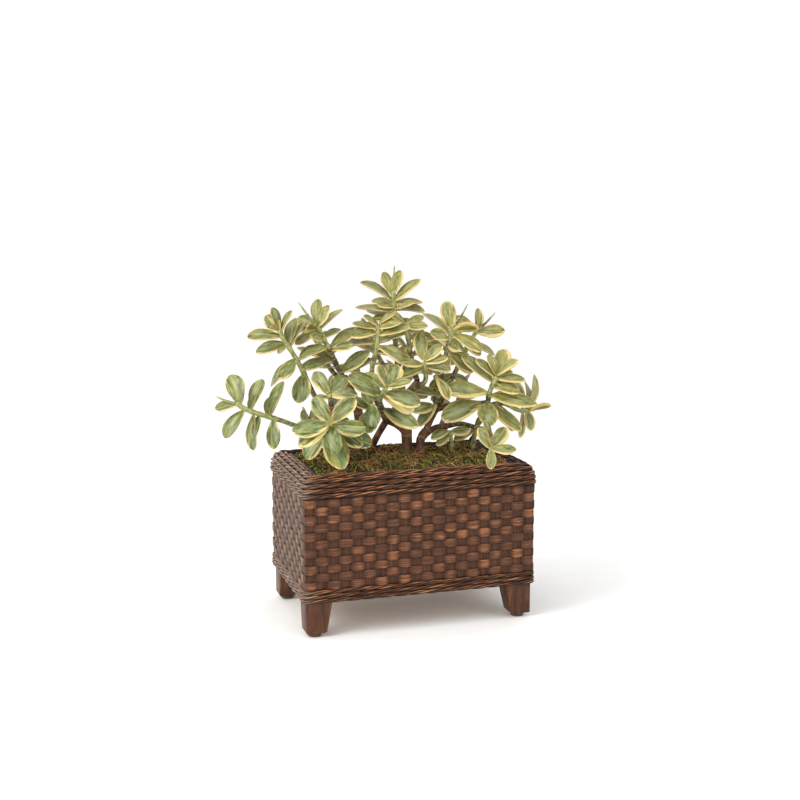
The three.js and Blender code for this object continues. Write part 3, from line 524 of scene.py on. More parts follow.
# Sheet moss covers the soil, heaped up over the rim in places. Its mat is a lumpy pad, and loose
# strands of green moss and dry brown fibre lie and curl all over it.
MOSS_HALF_X, MOSS_HALF_Y = 159.7, 90.7
MOSS_FOOT, MOSS_LEVEL, MOSS_LUMP = 218.3, 253, 5
MOSS_FADE = 24  # how far in from its edge the moss has its whole height
TUFT = 2.6  # how high the tufts of the mat stand
STRANDS = 5200
DRY = 0.1  # above this the drift at a strand makes it a dry one


def moss_height(x, y):
    lumps = math.sin(x * 0.071 + 1.3) * math.cos(y * 0.093 - 0.4) + 0.6 * math.sin(x * 0.037 - y * 0.061)
    edge = min(160 - abs(x), 91 - abs(y))
    fade = min(edge / MOSS_FADE, 1)
    return MOSS_LEVEL + (lumps * MOSS_LUMP - 3 * (1 - fade)) * fade - 4 * (1 - fade)


def moss_surface(x, y):
    """The lumps of the mat, with its tufts on them."""
    coarse = noise.noise(Vector((x * 0.09, y * 0.09, 3.1))) * TUFT
    fine = noise.noise(Vector((x * 0.24, y * 0.24, 7.7))) * TUFT
    return moss_height(x, y) + (coarse + fine)


bm, tone = new_shape([], ["tone"])
mat = bmesh.ops.create_grid(bm, x_segments=130, y_segments=76, size=1)["verts"]
for vert in mat:
    x, y = vert.co.x * MOSS_HALF_X, vert.co.y * MOSS_HALF_Y
    vert[tone] = 0.5 + 0.5 * noise.noise(Vector((x * 0.03, y * 0.03, 0.0)))
    vert.co = in_place(x, y, moss_surface(x, y))
bmesh.ops.extrude_face_region(bm, geom=bm.faces[:])
for vert in mat:
    vert.co.z = MOSS_FOOT * MM
bmesh.ops.recalc_face_normals(bm, faces=bm.faces)

# The strands are cut from one long sheet: three strips of it, rolled up, make a strand, and the
# strip between two strands is taken out.
SPAN, ROUND = 4, 3
sheet = bmesh.ops.create_grid(bm, x_segments=SPAN, y_segments=(ROUND + 1) * STRANDS - 1, size=1)["verts"]
for number in range(STRANDS):
    x, y = chance(-MOSS_HALF_X + 2, MOSS_HALF_X - 2), chance(-MOSS_HALF_Y + 2, MOSS_HALF_Y - 2)
    # dry brown fibre lies in drifts, green moss between them
    drift = noise.noise(Vector((x * 0.022, y * 0.03, 5.0))) + chance(-0.35, 0.35)
    dry = drift > DRY
    heading = chance(0, 2 * math.pi)
    length = chance(14, 40) if dry else chance(5, 15)
    rise = chance(0, 6) if dry else chance(1, 7.5)
    bend = chance(-2.1, 2.1)
    thick = chance(0.45, 0.95) if dry else chance(0.45, 0.8)
    shade = chance(0.62, 1.0) if dry else chance(0.0, 0.6)
    centres = []
    for i in range(SPAN + 1):
        share = i / SPAN
        lift = rise * math.sin(math.pi * share * 0.8) * min(1, (MOSS_HALF_Y - abs(y)) / 18) + 0.3
        limit_x, limit_y = MOSS_HALF_X - 1 - 0.01 * i, MOSS_HALF_Y - 1 - 0.01 * i
        x, y = max(-limit_x, min(limit_x, x)), max(-limit_y, min(limit_y, y))
        centres.append(in_place(x, y, moss_surface(x, y) + lift))
        x += math.cos(heading + bend * share) * length / SPAN
        y += math.sin(heading + bend * share) * length / SPAN
    first_vert = number * (ROUND + 1) * (SPAN + 1)
    for i, centre in enumerate(centres):
        ahead = (centres[min(i + 1, SPAN)] - centres[max(i - 1, 0)]).normalized()
        first = ahead.cross(Vector((0, 0, 1))).normalized()
        second = ahead.cross(first)
        radius = thick * (1 - 0.6 * abs(2 * i / SPAN - 1)) * MM
        for j in range(ROUND + 1):
            angle = 2 * math.pi * (j % ROUND) / ROUND
            vert = sheet[first_vert + j * (SPAN + 1) + i]
            vert.co = centre + radius * (math.cos(angle) * first + math.sin(angle) * second)
            vert[tone] = shade + 2
row_of = {vert: k // (SPAN + 1) for k, vert in enumerate(sheet)}
between = []
for face in bm.faces:
    rows = [row_of[vert] for vert in face.verts if vert in row_of]
    if rows and max(rows) % (ROUND + 1) == 0 and min(rows) != max(rows):
        between.append(face)
bmesh.ops.delete(bm, geom=between, context="FACES_ONLY")
bmesh.ops.delete(bm, geom=[edge for edge in bm.edges if not edge.link_faces], context="EDGES")
bmesh.ops.remove_doubles(bm, verts=[vert for vert in bm.verts if vert[tone] > 1.5], dist=1e-7)
bmesh.ops.holes_fill(bm, edges=[edge for edge in bm.edges if edge.is_boundary], sides=0)
bmesh.ops.recalc_face_normals(bm, faces=bm.faces)

moss_finish = new_finish("moss")
where = on_piece()
tone = written("tone")
strand_shade = minus(tone, 2.0)
strand_colour = ramp(strand_shade, (0.0, tint(26, 36, 9)), (0.25, tint(70, 82, 22)),
                     (0.5, tint(186, 184, 84)),
                     (0.62, tint(78, 48, 23)), (0.82, tint(160, 108, 58)), (1.0, tint(224, 178, 118)))
crumbs = cloud(where, 240.0, 5.0, roughness=0.7)
drifts = cloud(where, 26.0, 2.0)
mat_colour = ramp(plus(times(crumbs, 0.65), times(drifts, 0.35)),
                  (0.42, tint(13, 10, 6)), (0.5, tint(42, 38, 14)), (0.59, tint(98, 74, 37)))
is_strand = maths("GREATER_THAN", tone, 1.5)
colour = mix(is_strand, mat_colour, strand_colour)
coat(colour, 0.9, crumbs, 0.0012, 0.7)
finish_piece("moss_heaped", bm, [moss_finish], "moss", "moss")


# Three brown trunks stand in the soil and fork low down. Their bark is smooth and dull, with pale
# rings where leaves have dropped.
ROOT_DEPTH = 196
RING = 27  # distance between the rings on a trunk
TRUNK_SIDES = 14


def smooth_line(points, between):
    """A smooth line through the given points, with some more points between each two of them."""
    points = [np.array(point, float) for point in points]
    ends = [2 * points[0] - points[1], *points, 2 * points[-1] - points[-2]]
    line = []
    for p0, p1, p2, p3 in zip(ends, ends[1:], ends[2:], ends[3:]):
        knots = [0.0]
        for a, b in ((p0, p1), (p1, p2), (p2, p3)):
            knots.append(knots[-1] + np.linalg.norm(b - a) ** 0.5)
        t0, t1, t2, t3 = knots
        for k in range(between):
            t = t1 + (t2 - t1) * k / between
            a1 = p0 + (p1 - p0) * (t - t0) / (t1 - t0)
            a2 = p1 + (p2 - p1) * (t - t1) / (t2 - t1)
            a3 = p2 + (p3 - p2) * (t - t2) / (t3 - t2)
            b1 = a1 + (a2 - a1) * (t - t0) / (t2 - t0)
            b2 = a2 + (a3 - a2) * (t - t1) / (t3 - t1)
            line.append(b1 + (b2 - b1) * (t - t1) / (t2 - t1))
    line.append(points[-1])
    return line


def length_of(line):
    return sum(float(np.linalg.norm(b - a)) for a, b in zip(line, line[1:]))


def grow_bar(bm, grow, age, line, radius_at, sides, tone, finish=0, ages=(0, 1)):
    """A round bar along a line in millimetres, with its radius as a function of the run along it."""
    runs = [0.0]
    for a, b in zip(line, line[1:]):
        runs.append(runs[-1] + float(np.linalg.norm(b - a)))
    centres = [in_place(*point) for point in line]
    side = Vector((0.31, 0.83, 0.46))
    first_face = len(bm.faces)
    grid = bmesh.ops.create_grid(bm, x_segments=len(line) - 1, y_segments=sides, size=0.5)["verts"]
    for k, vert in enumerate(grid):
        j, i = divmod(k, len(line))
        ahead = (centres[min(i + 1, len(line) - 1)] - centres[max(i - 1, 0)]).normalized()
        first = (side - ahead * side.dot(ahead)).normalized()
        angle = 2 * math.pi * (j % sides) / sides
        way = math.cos(angle) * first + math.sin(angle) * ahead.cross(first)
        vert.co = centres[i] + way * radius_at(runs[i], angle) * MM
        vert[grow] = (runs[i] * MM + tone, math.cos(angle), math.sin(angle))
        vert[age] = ages[0] + (ages[1] - ages[0]) * runs[i] / runs[-1]
    bm.faces.ensure_lookup_table()
    for face in bm.faces[first_face:]:
        face.material_index = finish


def close_bars(bm):
    bmesh.ops.remove_doubles(bm, verts=bm.verts, dist=1e-6)
    bmesh.ops.holes_fill(bm, edges=[edge for edge in bm.edges if edge.is_boundary], sides=0)
    bmesh.ops.recalc_face_normals(bm, faces=bm.faces)


bark = new_finish("bark")
where = written("grow", "Vector")
run = axes(where)[0]
place = on_piece()
flakes = cloud(place, 130.0, 5.0, (1, 1, 0.45), 0.65)
casts = cloud(place, 34.0, 2.0)
wobble = plus(run, times(cloud(place, 28.0, 1.0), 0.012))
from_ring = maths("PINGPONG", wobble, RING * MM / 2)
ringed = spread(from_ring, 0.0018, 0.0004)
base = ramp(plus(times(flakes, 0.6), times(casts, 0.4)),
            (0.34, tint(60, 41, 29)), (0.5, tint(114, 80, 58)), (0.66, tint(160, 122, 92)))
colour = mix(times(ringed, 0.5), base, tint(164, 136, 110))
coat(colour, 0.72, flakes, 0.0012, 0.7, Specular_IOR_Level=0.2)

TRUNKS = {
    "trunk_left": [
        (15, [[-64, 34, ROOT_DEPTH], [-64, 34, 252], [-60, 31, 300], [-66, 25, 340], [-79, 20, 368],
         [-91, 15, 388]]),
        (11, [[-61, 30, 290], [-97, -15, 304], [-121, -40, 318]]),
        (9, [[-119, -38, 317], [-126, -46, 340], [-128, -50, 354]]),
    ],
    "trunk_middle": [
        (19, [[18, 17, ROOT_DEPTH], [18, 17, 252], [17, 16, 292], [10, 14, 332], [3, 12, 368]]),
        (11, [[-28, 80, ROOT_DEPTH], [-28, 80, 246], [-25, 74, 262], [-11, 40, 309], [3, 20, 338],
         [18, 6, 362], [31, -4, 380]]),
        (11, [[17, 16, 290], [4, 22, 303], [-10, 38, 310]]),
        (10, [[-12, 39, 309], [-28, 0, 328], [-41, -36, 342]]),
    ],
    "trunk_right": [
        (15, [[35, -6, ROOT_DEPTH], [35, -4, 252], [37, 2, 280], [48, 8, 294]]),
        (11, [[45, 6, 291], [67, 14, 328], [80, 10, 354]]),
        (11, [[42, 4, 287], [66, 11, 298], [88, 15, 299]]),
        (10, [[67, 13, 328], [93, 5, 336], [128, -12, 340]]),
    ],
}

for name, limbs in TRUNKS.items():
    bm, grow, age = new_shape(["grow"], ["age"])
    for thickness, points in limbs:
        waver = chance(0, 6)
        start = 4 * waver  # puts the rings of each limb at heights of their own

        def trunk_radius(run, angle, thickness=thickness, waver=waver, start=start):
            from_ring = abs((run + start + RING / 2) % RING - RING / 2)
            ring = 0.06 * math.exp(-((from_ring / 1.6) ** 2))
            knots = 0.05 * math.sin(run * 0.11 + waver) + 0.045 * math.sin(2 * angle + run * 0.05 + waver)
            return thickness / 2 * (1 + ring + knots)

        grow_bar(bm, grow, age, smooth_line(points, 10), trunk_radius, TRUNK_SIDES, start * MM)
    close_bars(bm)
    finish_piece(f"{name}_bark", bm, [bark], "bark", name)


# Each shoot is a fleshy green stem with thick leaves in crossed pairs. A leaf is cupped and keeled,
# with a cream edge, and some shoots end in a thin spike. The leaves are described as they are seen
# from the front left: how far along the stem one grows, its direction (degrees, 0 to the right, 90
# up), its lean towards the viewer, its length in millimetres, how far it is turned to the viewer,
# and its width over its length where that isn't LEAF_WIDTH.
VIEW_TURN, VIEW_DROP = math.radians(17.2), math.radians(8.5)
STEM_TIP, STEM_ROOT = 3.4, 4.6
LEAF_WIDTH, LEAF_THICK = 0.6, 5.2
LEAF_CLEAR, SIBLING_CLEAR = 7.4, 4.4
LEANS = [0, 12, -12, 24, -24, 36, -36, 48, -48]

SHOOTS = [
    ("shoot_left_low_front",
     [[-119, -38, 317], [-126, -60, 319], [-138, -90, 328], [-145, -112, 335]],
     [[1, 125, -8, 50, 90, 0.64], [0.97, 45, -5, 56, 90, 0.6], [0.98, 189, 8, 60, 80],
      [0.86, 352, 12, 56, 80], [0.9, 215, 15, 58, 72, 0.64], [0.84, 282, 30, 54, 90, 0.72],
      [0.62, 288, 34, 80, 84, 0.58], [0.6, 232, -5, 66, 60, 0.62], [0.5, 205, -28, 76, 50],
      [0.3, 338, -5, 66, 60], [0.42, 328, 24, 60, 70]]),
    ("shoot_left_low_back",
     [[-128, -50, 350], [-131, -55, 374]],
     [[0.95, 130, -20, 48, 90, 0.62], [1, 52, -42, 50, 90, 0.62], [0.8, 0, 15, 46, 66],
      [0.7, 180, -20, 26, 40]]),
    ("shoot_far_left",
     [[-62, 31, 288], [-117, 5, 305], [-171, -15, 316], [-202, -25, 329], [-235, -32, 341],
      [-261, -38, 352], [-277, -42, 363]],
     [[0.96, 111, -25, 57, 90, 0.64], [1, 193, 5, 36, 75, 0.6], [0.92, 235, 15, 56, 60, 0.56],
      [0.88, 72, -10, 54, 56, 0.56], [0.88, 92, -30, 34, 50], [0.81, 258, 20, 40, 55],
      [0.855, 263, -10, 66, 40, 0.52], [0.74, 69, 10, 62, 48, 0.54], [0.75, 84, -25, 38, 62],
      [0.71, 270, 10, 50, 85, 0.58], [0.45, 100, 5, 30, 70, 0.6]],
     [160, 5, 36]),
    ("shoot_upper_left",
     [[-100, -20, 306], [-122, -16, 330], [-142, -8, 359], [-153, 0, 384], [-161, 2, 403], [-170, 5, 421],
      [-179, 5, 436], [-194, 5, 460], [-198, 5, 471]],
     [[1, 134, -20, 38, 90, 0.72], [1, 109, 15, 40, 45], [0.97, 62, 15, 42, 30], [0.98, 95, 30, 22, 45],
      [0.99, 168, 25, 24, 70], [0.93, 180, 10, 56, 44], [0.86, 192, -10, 54, 56], [0.85, 222, 30, 24, 60],
      [0.82, 60, -10, 50, 30], [0.84, 78, -12, 50, 62], [0.72, 230, 32, 48, 90], [0.7, 219, -25, 66, 38],
      [0.7, 25, -15, 52, 34], [0.58, 263, 32, 55, 85, 0.7], [0.61, 18, -10, 40, 55]]),
    ("shoot_left_middle",
     [[-90, 15, 386], [-100, 14, 404], [-107, 12, 418], [-114, 10, 435], [-121, 10, 446], [-129, 10, 462],
      [-135, 10, 474]],
     [[1, 90, -15, 47, 54], [0.98, 60, 20, 44, 64, 0.58], [0.93, 43, -15, 52, 32], [1, 153, 0, 48, 58],
      [0.97, 188, 25, 42, -60], [0.92, 208, -5, 46, 50], [0.95, 176, -25, 52, 60], [0.78, 30, -20, 34, 60],
      [0.74, 164, 44, 36, 85, 0.56], [0.62, 200, 32, 50, 42], [0.57, 37, 0, 62, 50], [0.54, 12, 25, 44, 42],
      [0.3, 152, -25, 50, -70], [0.36, 194, -5, 60, 38], [0.12, 35, 10, 60, 58]],
     [128, 0, 51]),
    ("shoot_middle_low_left",
     [[-30, -8, 328], [-52, -44, 335], [-66, -74, 348], [-70, -84, 357]],
     [[1, 275, 45, 44, 90, 0.76], [0.88, 256, 15, 54, 88, 0.7], [0.95, 120, -30, 36, 75],
      [0.7, 40, -35, 44, 60], [0.8, 152, -10, 40, 65]]),
    ("shoot_middle_front",
     [[-37, -27, 338], [-53, -68, 364], [-49, -92, 385]],
     [[1, 72, -48, 64, 88], [1, 112, 10, 40, 50], [0.97, 148, -20, 46, 66], [0.73, 152, 10, 70, 60],
      [1, 12, 20, 42, 52], [0.8, 345, 10, 62, 70], [0.7, 334, -18, 62, 70], [0.12, 334, 25, 74, 64, 0.48],
      [0.6, 170, -25, 42, 60]]),
    ("shoot_middle_left_upper",
     [[-30, -5, 330], [-44, -10, 356], [-50, -12, 381], [-50, -12, 406], [-45, -12, 427], [-41, -10, 446],
      [-37, -6, 477]],
     [[0.9, 190, 10, 46, 60], [0.95, 172, -15, 44, 40], [0.79, 186, -10, 66, 30], [0.87, 15, 15, 58, 42],
      [0.76, 330, 10, 66, 46], [0.69, 0, -25, 40, 50], [1, 38, 10, 36, 36], [1, 150, 20, 30, 40],
      [0.62, 200, -30, 46, 45], [0.95, 12, 28, 44, 48]]),
    ("shoot_tallest",
     [[3, 12, 366], [-1, 15, 430], [-4, 18, 463], [-3, 20, 496], [-5, 20, 530]],
     [[0.93, 110, -10, 45, 84, 0.54], [0.95, 73, 15, 42, 85, 0.58], [0.87, 38, 10, 60, 46, 0.52],
      [0.86, 150, 10, 66, 30, 0.54], [0.84, 166, -25, 44, 36], [0.85, 7, -10, 50, 34],
      [0.8, 14, 15, 42, 30], [0.82, 172, 40, 34, 40], [0.78, 177, 10, 66, 26], [0.7, 162, -20, 52, 30],
      [0.79, 0, -5, 52, 32], [0.68, 176, 25, 40, 45], [0.7, 344, -15, 44, 58], [0.59, 358, 15, 56, 42],
      [0.52, 188, -25, 46, 45]],
     [87, 0, 42]),
    ("shoot_middle_right",
     [[30, -3, 379], [21, -8, 404], [17, -8, 424], [14, -6, 445], [8, 0, 478]],
     [[0.73, 0, -15, 46, 60], [0.82, 195, 10, 38, 55], [0.97, 20, -10, 34, 66], [1, 150, 20, 32, 60],
      [0.62, 215, 25, 42, 45], [0.45, 20, -30, 46, 45], [0.92, 355, 18, 44, 55]]),
    ("shoot_middle_right_front",
     [[20, 4, 365], [36, -25, 383], [29, -37, 417]],
     [[1, 96, -15, 50, 88, 0.6], [1, 44, 10, 42, 66], [0.95, 10, 20, 42, 52], [0.85, 358, -15, 46, 48],
      [0.9, 175, 30, 42, 50], [0.8, 200, -10, 44, 50]]),
    ("shoot_centre",
     [[67, 14, 328], [68, 0, 350], [60, -15, 374], [53, -25, 392]],
     [[0.96, 300, 15, 46, 50], [1, 52, -20, 42, 85, 0.6], [0.4, 168, -5, 50, 45], [0.9, 174, 5, 50, 34],
      [0.2, 232, 15, 52, 48], [0.7, 335, -30, 42, 66], [0.1, 194, 12, 52, 60]]),
    ("shoot_right_upper",
     [[80, 10, 352], [75, 5, 387], [79, 0, 416], [83, -2, 438], [89, -4, 463]],
     [[0.98, 98, -10, 54, 84, 0.62], [0.91, 139, -5, 62, 34], [1, 6, 15, 48, -50], [0.94, 330, 15, 60, 48],
      [0.86, 165, 5, 46, 60], [0.78, 325, 38, 36, 85, 0.6], [0.7, 322, 15, 58, 60], [0.46, 24, -20, 50, 58],
      [0.7, 160, -22, 46, 55]],
     [59, 0, 53]),
    ("shoot_right_upper_back",
     [[72, 12, 338], [92, 30, 358], [111, 40, 386], [125, 40, 415], [134, 40, 432], [150, 40, 457]],
     [[1, 85, -10, 42, 60], [0.98, 143, 10, 46, 62], [0.97, 5, 10, 50, 76, 0.6], [0.84, 328, 20, 50, 36],
      [0.77, 330, 30, 32, 55], [0.72, 150, -20, 46, 50], [0.55, 345, -25, 50, 45], [0.42, 206, -12, 48, 60]],
     [45, 0, 46]),
    ("shoot_right_middle",
     [[128, -12, 340], [144, -25, 343], [145, -32, 359], [150, -36, 375], [155, -40, 388]],
     [[1, 68, -25, 58, 88, 0.6], [0.98, 110, -10, 40, 52], [0.94, 136, 10, 46, 40], [1, 37, 15, 46, 34],
      [0.9, 24, -30, 40, 66], [0.93, 357, 10, 50, 44], [0.84, 348, -25, 50, 40],
      [0.55, 172, 15, 76, 60, 0.52], [0.5, 351, 12, 82, 54, 0.48], [0.45, 355, -22, 92, 36, 0.46],
      [0.2, 202, -8, 78, 74, 0.54], [0.3, 270, 42, 62, 88, 0.68], [0.28, 322, 8, 76, 52, 0.48],
      [0.82, 140, 12, 70, 52, 0.5], [0.72, 350, 28, 48, 58]]),
    ("shoot_far_right",
     [[122, -9, 340], [142, 2, 332], [182, -2, 336], [210, 0, 323], [231, 5, 320]],
     [[1, 11, -10, 44, -28], [0.98, 275, 35, 42, 85, 0.6], [0.98, 91, -15, 56, 34], [1, 78, 15, 64, 30],
      [0.9, 100, -25, 68, 26], [0.9, 264, 10, 48, 32], [0.47, 300, 15, 54, 40],
      [0.94, 35, -20, 48, 72, 0.66]]),
    ("shoot_low_right_front",
     [[86, 15, 299], [106, 5, 304], [127, -30, 301], [131, -64, 303], [126, -95, 292], [115, -115, 281]],
     [[0.97, 49, -20, 48, 88, 0.62], [1, 0, 10, 42, 60], [1, 268, 28, 38, 85, 0.58],
      [0.99, 122, 15, 40, 60], [0.8, 110, -20, 32, 50]]),
    ("shoot_low_right_a",
     [[92, 0, ROOT_DEPTH + 5], [92, 0, 252], [90, 0, 278], [86, 0, 295]],
     [[0.96, 5, 25, 38, 85], [0.9, 215, 30, 34, 80], [1, 202, -15, 40, 60]]),
    ("shoot_low_right_b",
     [[135, 20, ROOT_DEPTH + 5], [135, 20, 255], [139, 20, 275], [138, 15, 293]],
     [[0.96, 205, 10, 40, 60], [0.88, 258, -15, 28, 80], [1, 60, 10, 30, 60], [0.9, 340, -10, 36, 50]]),
]

# The far side of the plant, where each pair of leaves is turned a quarter from the one below it
BACK_SHOOTS = [
    ("shoot_back_left", 4, 54, 20, [[-78, 21, 366], [-100, 55, 395], [-114, 80, 425], [-117, 90, 448]]),
    ("shoot_back_low_left", 3, 56, 70, [[-62, 32, 276], [-75, 70, 305], [-85, 95, 335], [-88, 105, 356]]),
    ("shoot_back_low_far_left", 3, 50, 0, [[-63, 34, 264], [-90, 50, 280], [-120, 62, 296], [-138, 66, 312]]),
    ("shoot_back_middle", 4, 56, 40, [[12, 14, 322], [24, 60, 340], [32, 95, 366], [34, 110, 390]]),
    ("shoot_back_top_left", 4, 50, 10, [[4, 14, 350], [-12, 50, 400], [-26, 75, 434], [-32, 85, 456]]),
    ("shoot_back_top_middle", 4, 50, 65, [[10, 14, 342], [22, 50, 385], [38, 78, 412], [46, 92, 440]]),
    ("shoot_back_top_right", 4, 50, 30, [[69, 14, 330], [78, 50, 362], [114, 86, 400], [140, 104, 436]]),
    ("shoot_back_low_right", 3, 58, 15, [[76, 13, 298], [96, 50, 308], [130, 80, 330], [142, 92, 352]]),
]

view_right = np.array((math.cos(VIEW_TURN), -math.sin(VIEW_TURN), 0.0))
view_back = np.array((-math.sin(VIEW_TURN) * math.cos(VIEW_DROP), -math.cos(VIEW_TURN) * math.cos(VIEW_DROP),
                      math.sin(VIEW_DROP)))
view_up = np.cross(view_back, view_right)
growth = 4127


def draw(low, high):
    """The plant's own draws, so that it grows the same every time."""
    global growth
    growth = growth * 16807 % 2147483647
    return low + (high - low) * growth / 2147483647


def unit(vector):
    return vector / np.linalg.norm(vector)


def along_line(points, share):
    """A point at a share of the length of a line of straight runs."""
    lengths = [float(np.linalg.norm(b - a)) for a, b in zip(points, points[1:])]
    left = share * sum(lengths)
    for i, length in enumerate(lengths):
        if left <= length or i == len(lengths) - 1:
            return points[i] + (points[i + 1] - points[i]) * min(left / length, 1)
        left -= length


def view_direction(clock, lean):
    clock, lean = math.radians(clock), math.radians(lean)
    flat = view_right * math.cos(clock) + view_up * math.sin(clock)
    return flat * math.cos(lean) + view_back * math.sin(lean)


def face_direction(axis, stem_direction, face):
    """The way up of a leaf: edge-on to the viewer at 0 degrees, facing the viewer at 90."""
    to_viewer = unit(view_back - axis * view_back.dot(axis))
    sideways = np.cross(axis, to_viewer)
    if sideways.dot(stem_direction) + 0.7 * sideways[2] < 0:
        sideways = -sideways
    return sideways * math.cos(math.radians(face)) + to_viewer * math.sin(math.radians(face))


def half_width(leaf, share):
    """Half the width of a leaf: narrow at the root, broadest past the middle, round at the tip."""
    stalk = 2.2
    broad = leaf["length"] * leaf["broad"] / 2
    return stalk * (1 - share) ** 2 + (broad - stalk) * max(math.sin(math.pi * share ** 1.5), 0) ** 0.6


def mid_point(leaf, share):
    """A point on the middle line of a leaf, which arches a little over its upper face."""
    arch = leaf["arch"] * leaf["length"] * 4 * share * (1 - share)
    return leaf["root"] + leaf["axis"] * leaf["length"] * share + leaf["up"] * arch


BLADE_SHARES = (0.2, 0.35, 0.5, 0.65, 0.8, 0.95)
STEM_GAP, STEM_SPOTS = 3.2, 6  # room kept round a stem, and the distance between the spots on it
NEAR_ROOT = 0.4  # leaves of one shoot may meet nearer to their roots than this
PLANTING_DEPTH = 0.985  # leaves and buds start this far along at the most
filled = {"point": np.empty((0, 3)), "share": np.empty(0), "room": np.empty(0), "owner": np.empty(0, int)}


def fill(points, shares, rooms, owner):
    filled["point"] = np.vstack([filled["point"], points])
    filled["share"] = np.concatenate([filled["share"], shares])
    filled["room"] = np.concatenate([filled["room"], rooms])
    filled["owner"] = np.concatenate([filled["owner"], [owner] * len(points)])


def fill_stem(points, radius, owner):
    count = math.ceil(length_of(points) / STEM_SPOTS)
    spots = [along_line(points, i / count) for i in range(count + 1)]
    fill(spots, [0.0] * len(spots), [radius + STEM_GAP] * len(spots), owner)


def blade_points(leaf):
    side = np.cross(leaf["axis"], leaf["up"])
    points = [mid_point(leaf, share) + side * across * half_width(leaf, share)
              for share in BLADE_SHARES for across in (-0.85, -0.3, 0.3, 0.85)]
    return np.array(points), np.repeat(BLADE_SHARES, 4)


def in_planter(points):
    """True inside the planter or close over its rim and moss."""
    out = np.maximum(abs(points[:, 0]) - BASKET_LENGTH / 2, abs(points[:, 1]) - BASKET_DEPTH / 2)
    z = points[:, 2]
    low, rim, moss = z < 236, (z >= 236) & (z < 250), (z >= 250) & (z < 261)
    return (low & (out < 8)) | (rim & (out < 3)) | (moss & (out < -1))


def has_room(points, shares, owner):
    if in_planter(points).any():
        return False
    near = ((points[:, None] - filled["point"][None]) ** 2).sum(axis=2)
    own = filled["owner"] == owner
    room = np.where(own, np.minimum(filled["room"], SIBLING_CLEAR), filled["room"])
    spared = own[None] & ((shares[:, None] < NEAR_ROOT) | (filled["share"][None] < NEAR_ROOT))
    return not ((near < (room * room)[None]) & ~spared).any()


def grow_leaf(owner, root, stem_direction, clock, lean, length, face, broad, arch):
    """A leaf that would touch another is leant out of its way, and is left off if nothing helps."""
    for size in (1, 0.86):
        for extra in LEANS:
            axis = view_direction(clock, lean + extra)
            up = face_direction(axis, stem_direction, face)
            leaf = {"root": root, "axis": axis, "up": up, "length": length * size, "broad": broad,
                    "arch": arch}
            points, shares = blade_points(leaf)
            if has_room(points, shares, owner):
                fill(points, shares, [LEAF_CLEAR] * len(points), owner)
                return leaf
    return None


def crossed_pairs(pairs, longest, twist):
    """The rows of a shoot whose leaves are in pairs, each a quarter round from the one above it."""
    rows = []
    for i in range(pairs):
        length = longest * min(0.55 + 0.2 * i, 1)
        for half in (0, 180):
            heading = math.radians(twist + 90 * i + half + draw(-12, 12))
            rise = math.radians(62 - 20 * i + draw(-8, 8))
            flat = math.cos(rise)
            axis = np.array((math.cos(heading) * flat, math.sin(heading) * flat, math.sin(rise)))
            clock = math.degrees(math.atan2(axis.dot(view_up), axis.dot(view_right)))
            rows.append([1 - i * 0.17, clock, math.degrees(math.asin(axis.dot(view_back))), length, 28])
    return rows


for owner, limbs in enumerate(TRUNKS.values()):
    for thickness, points in limbs:
        fill_stem(np.array(points, float), thickness / 2, owner)
SHOOTS += [(name, stem, crossed_pairs(*pairing)) for name, *pairing, stem in BACK_SHOOTS]
for owner, (_, stem, *_) in enumerate(SHOOTS, len(TRUNKS)):
    fill_stem(np.array(stem, float), STEM_TIP, owner)

grown = []
for owner, (name, stem, rows, *bud) in enumerate(SHOOTS, len(TRUNKS)):
    points = np.array(stem, float)
    leaves = []
    for along, clock, lean, length, face, *rest in rows:
        arch = draw(0.02, 0.08)
        clock += draw(-2, 2)
        lean += draw(-5, 5)
        root = along_line(points, min(along, PLANTING_DEPTH))
        stem_direction = unit(root - along_line(points, max(along - 0.15, 0)))
        broad = rest[0] if rest else LEAF_WIDTH
        leaf = grow_leaf(owner, root, stem_direction, clock, lean, length, face, broad, arch)
        if leaf:
            leaves.append((along, leaf))
    grown.append((name, points, leaves, bud))

LEAF_STATIONS = [0, 0.09, 0.26, 0.46, 0.66, 0.84, 0.955, 1]
LEAF_AROUND = 12
STEM_SIDES, SPIKE_SIDES = 10, 8
STEM = 1  # the stem's place among the finishes of a shoot; the leaf's is 0
BUD_RADIUS = 3.1
SCAR_GAP = 0.0124  # between two leaf scars on a stem, in metres

stem_green = new_finish("stem")
where = written("grow", "Vector")
youth = written("age")
run = axes(where)[0]
streaks = cloud(where, 1.0, 3.0, (60, 2.6, 2.6), 0.6)
place = on_piece()
mottle = cloud(place, 130.0, 4.0)
young = ramp(streaks, (0.34, tint(112, 120, 60)), (0.5, tint(148, 154, 90)), (0.66, tint(186, 184, 126)))
old = ramp(streaks, (0.36, tint(54, 54, 28)), (0.5, tint(84, 84, 46)), (0.66, tint(126, 120, 74)))
brown = ramp(mottle, (0.34, tint(56, 42, 28)), (0.62, tint(104, 84, 56)))
aged = plus(youth, spread(mottle, 0.35, 0.65, -0.34, 0.26))
green = mix(spread(aged, 0.25, 0.8), old, young)
colour = mix(spread(aged, 0.06, 0.55), brown, green)
from_scar = maths("PINGPONG", run, SCAR_GAP / 2)
scar = spread(from_scar, 0.0013, 0.0004)
colour = mix(times(scar, 0.6), colour, tint(176, 168, 106))
coat(colour, 0.5, streaks, 0.0006, 0.5)

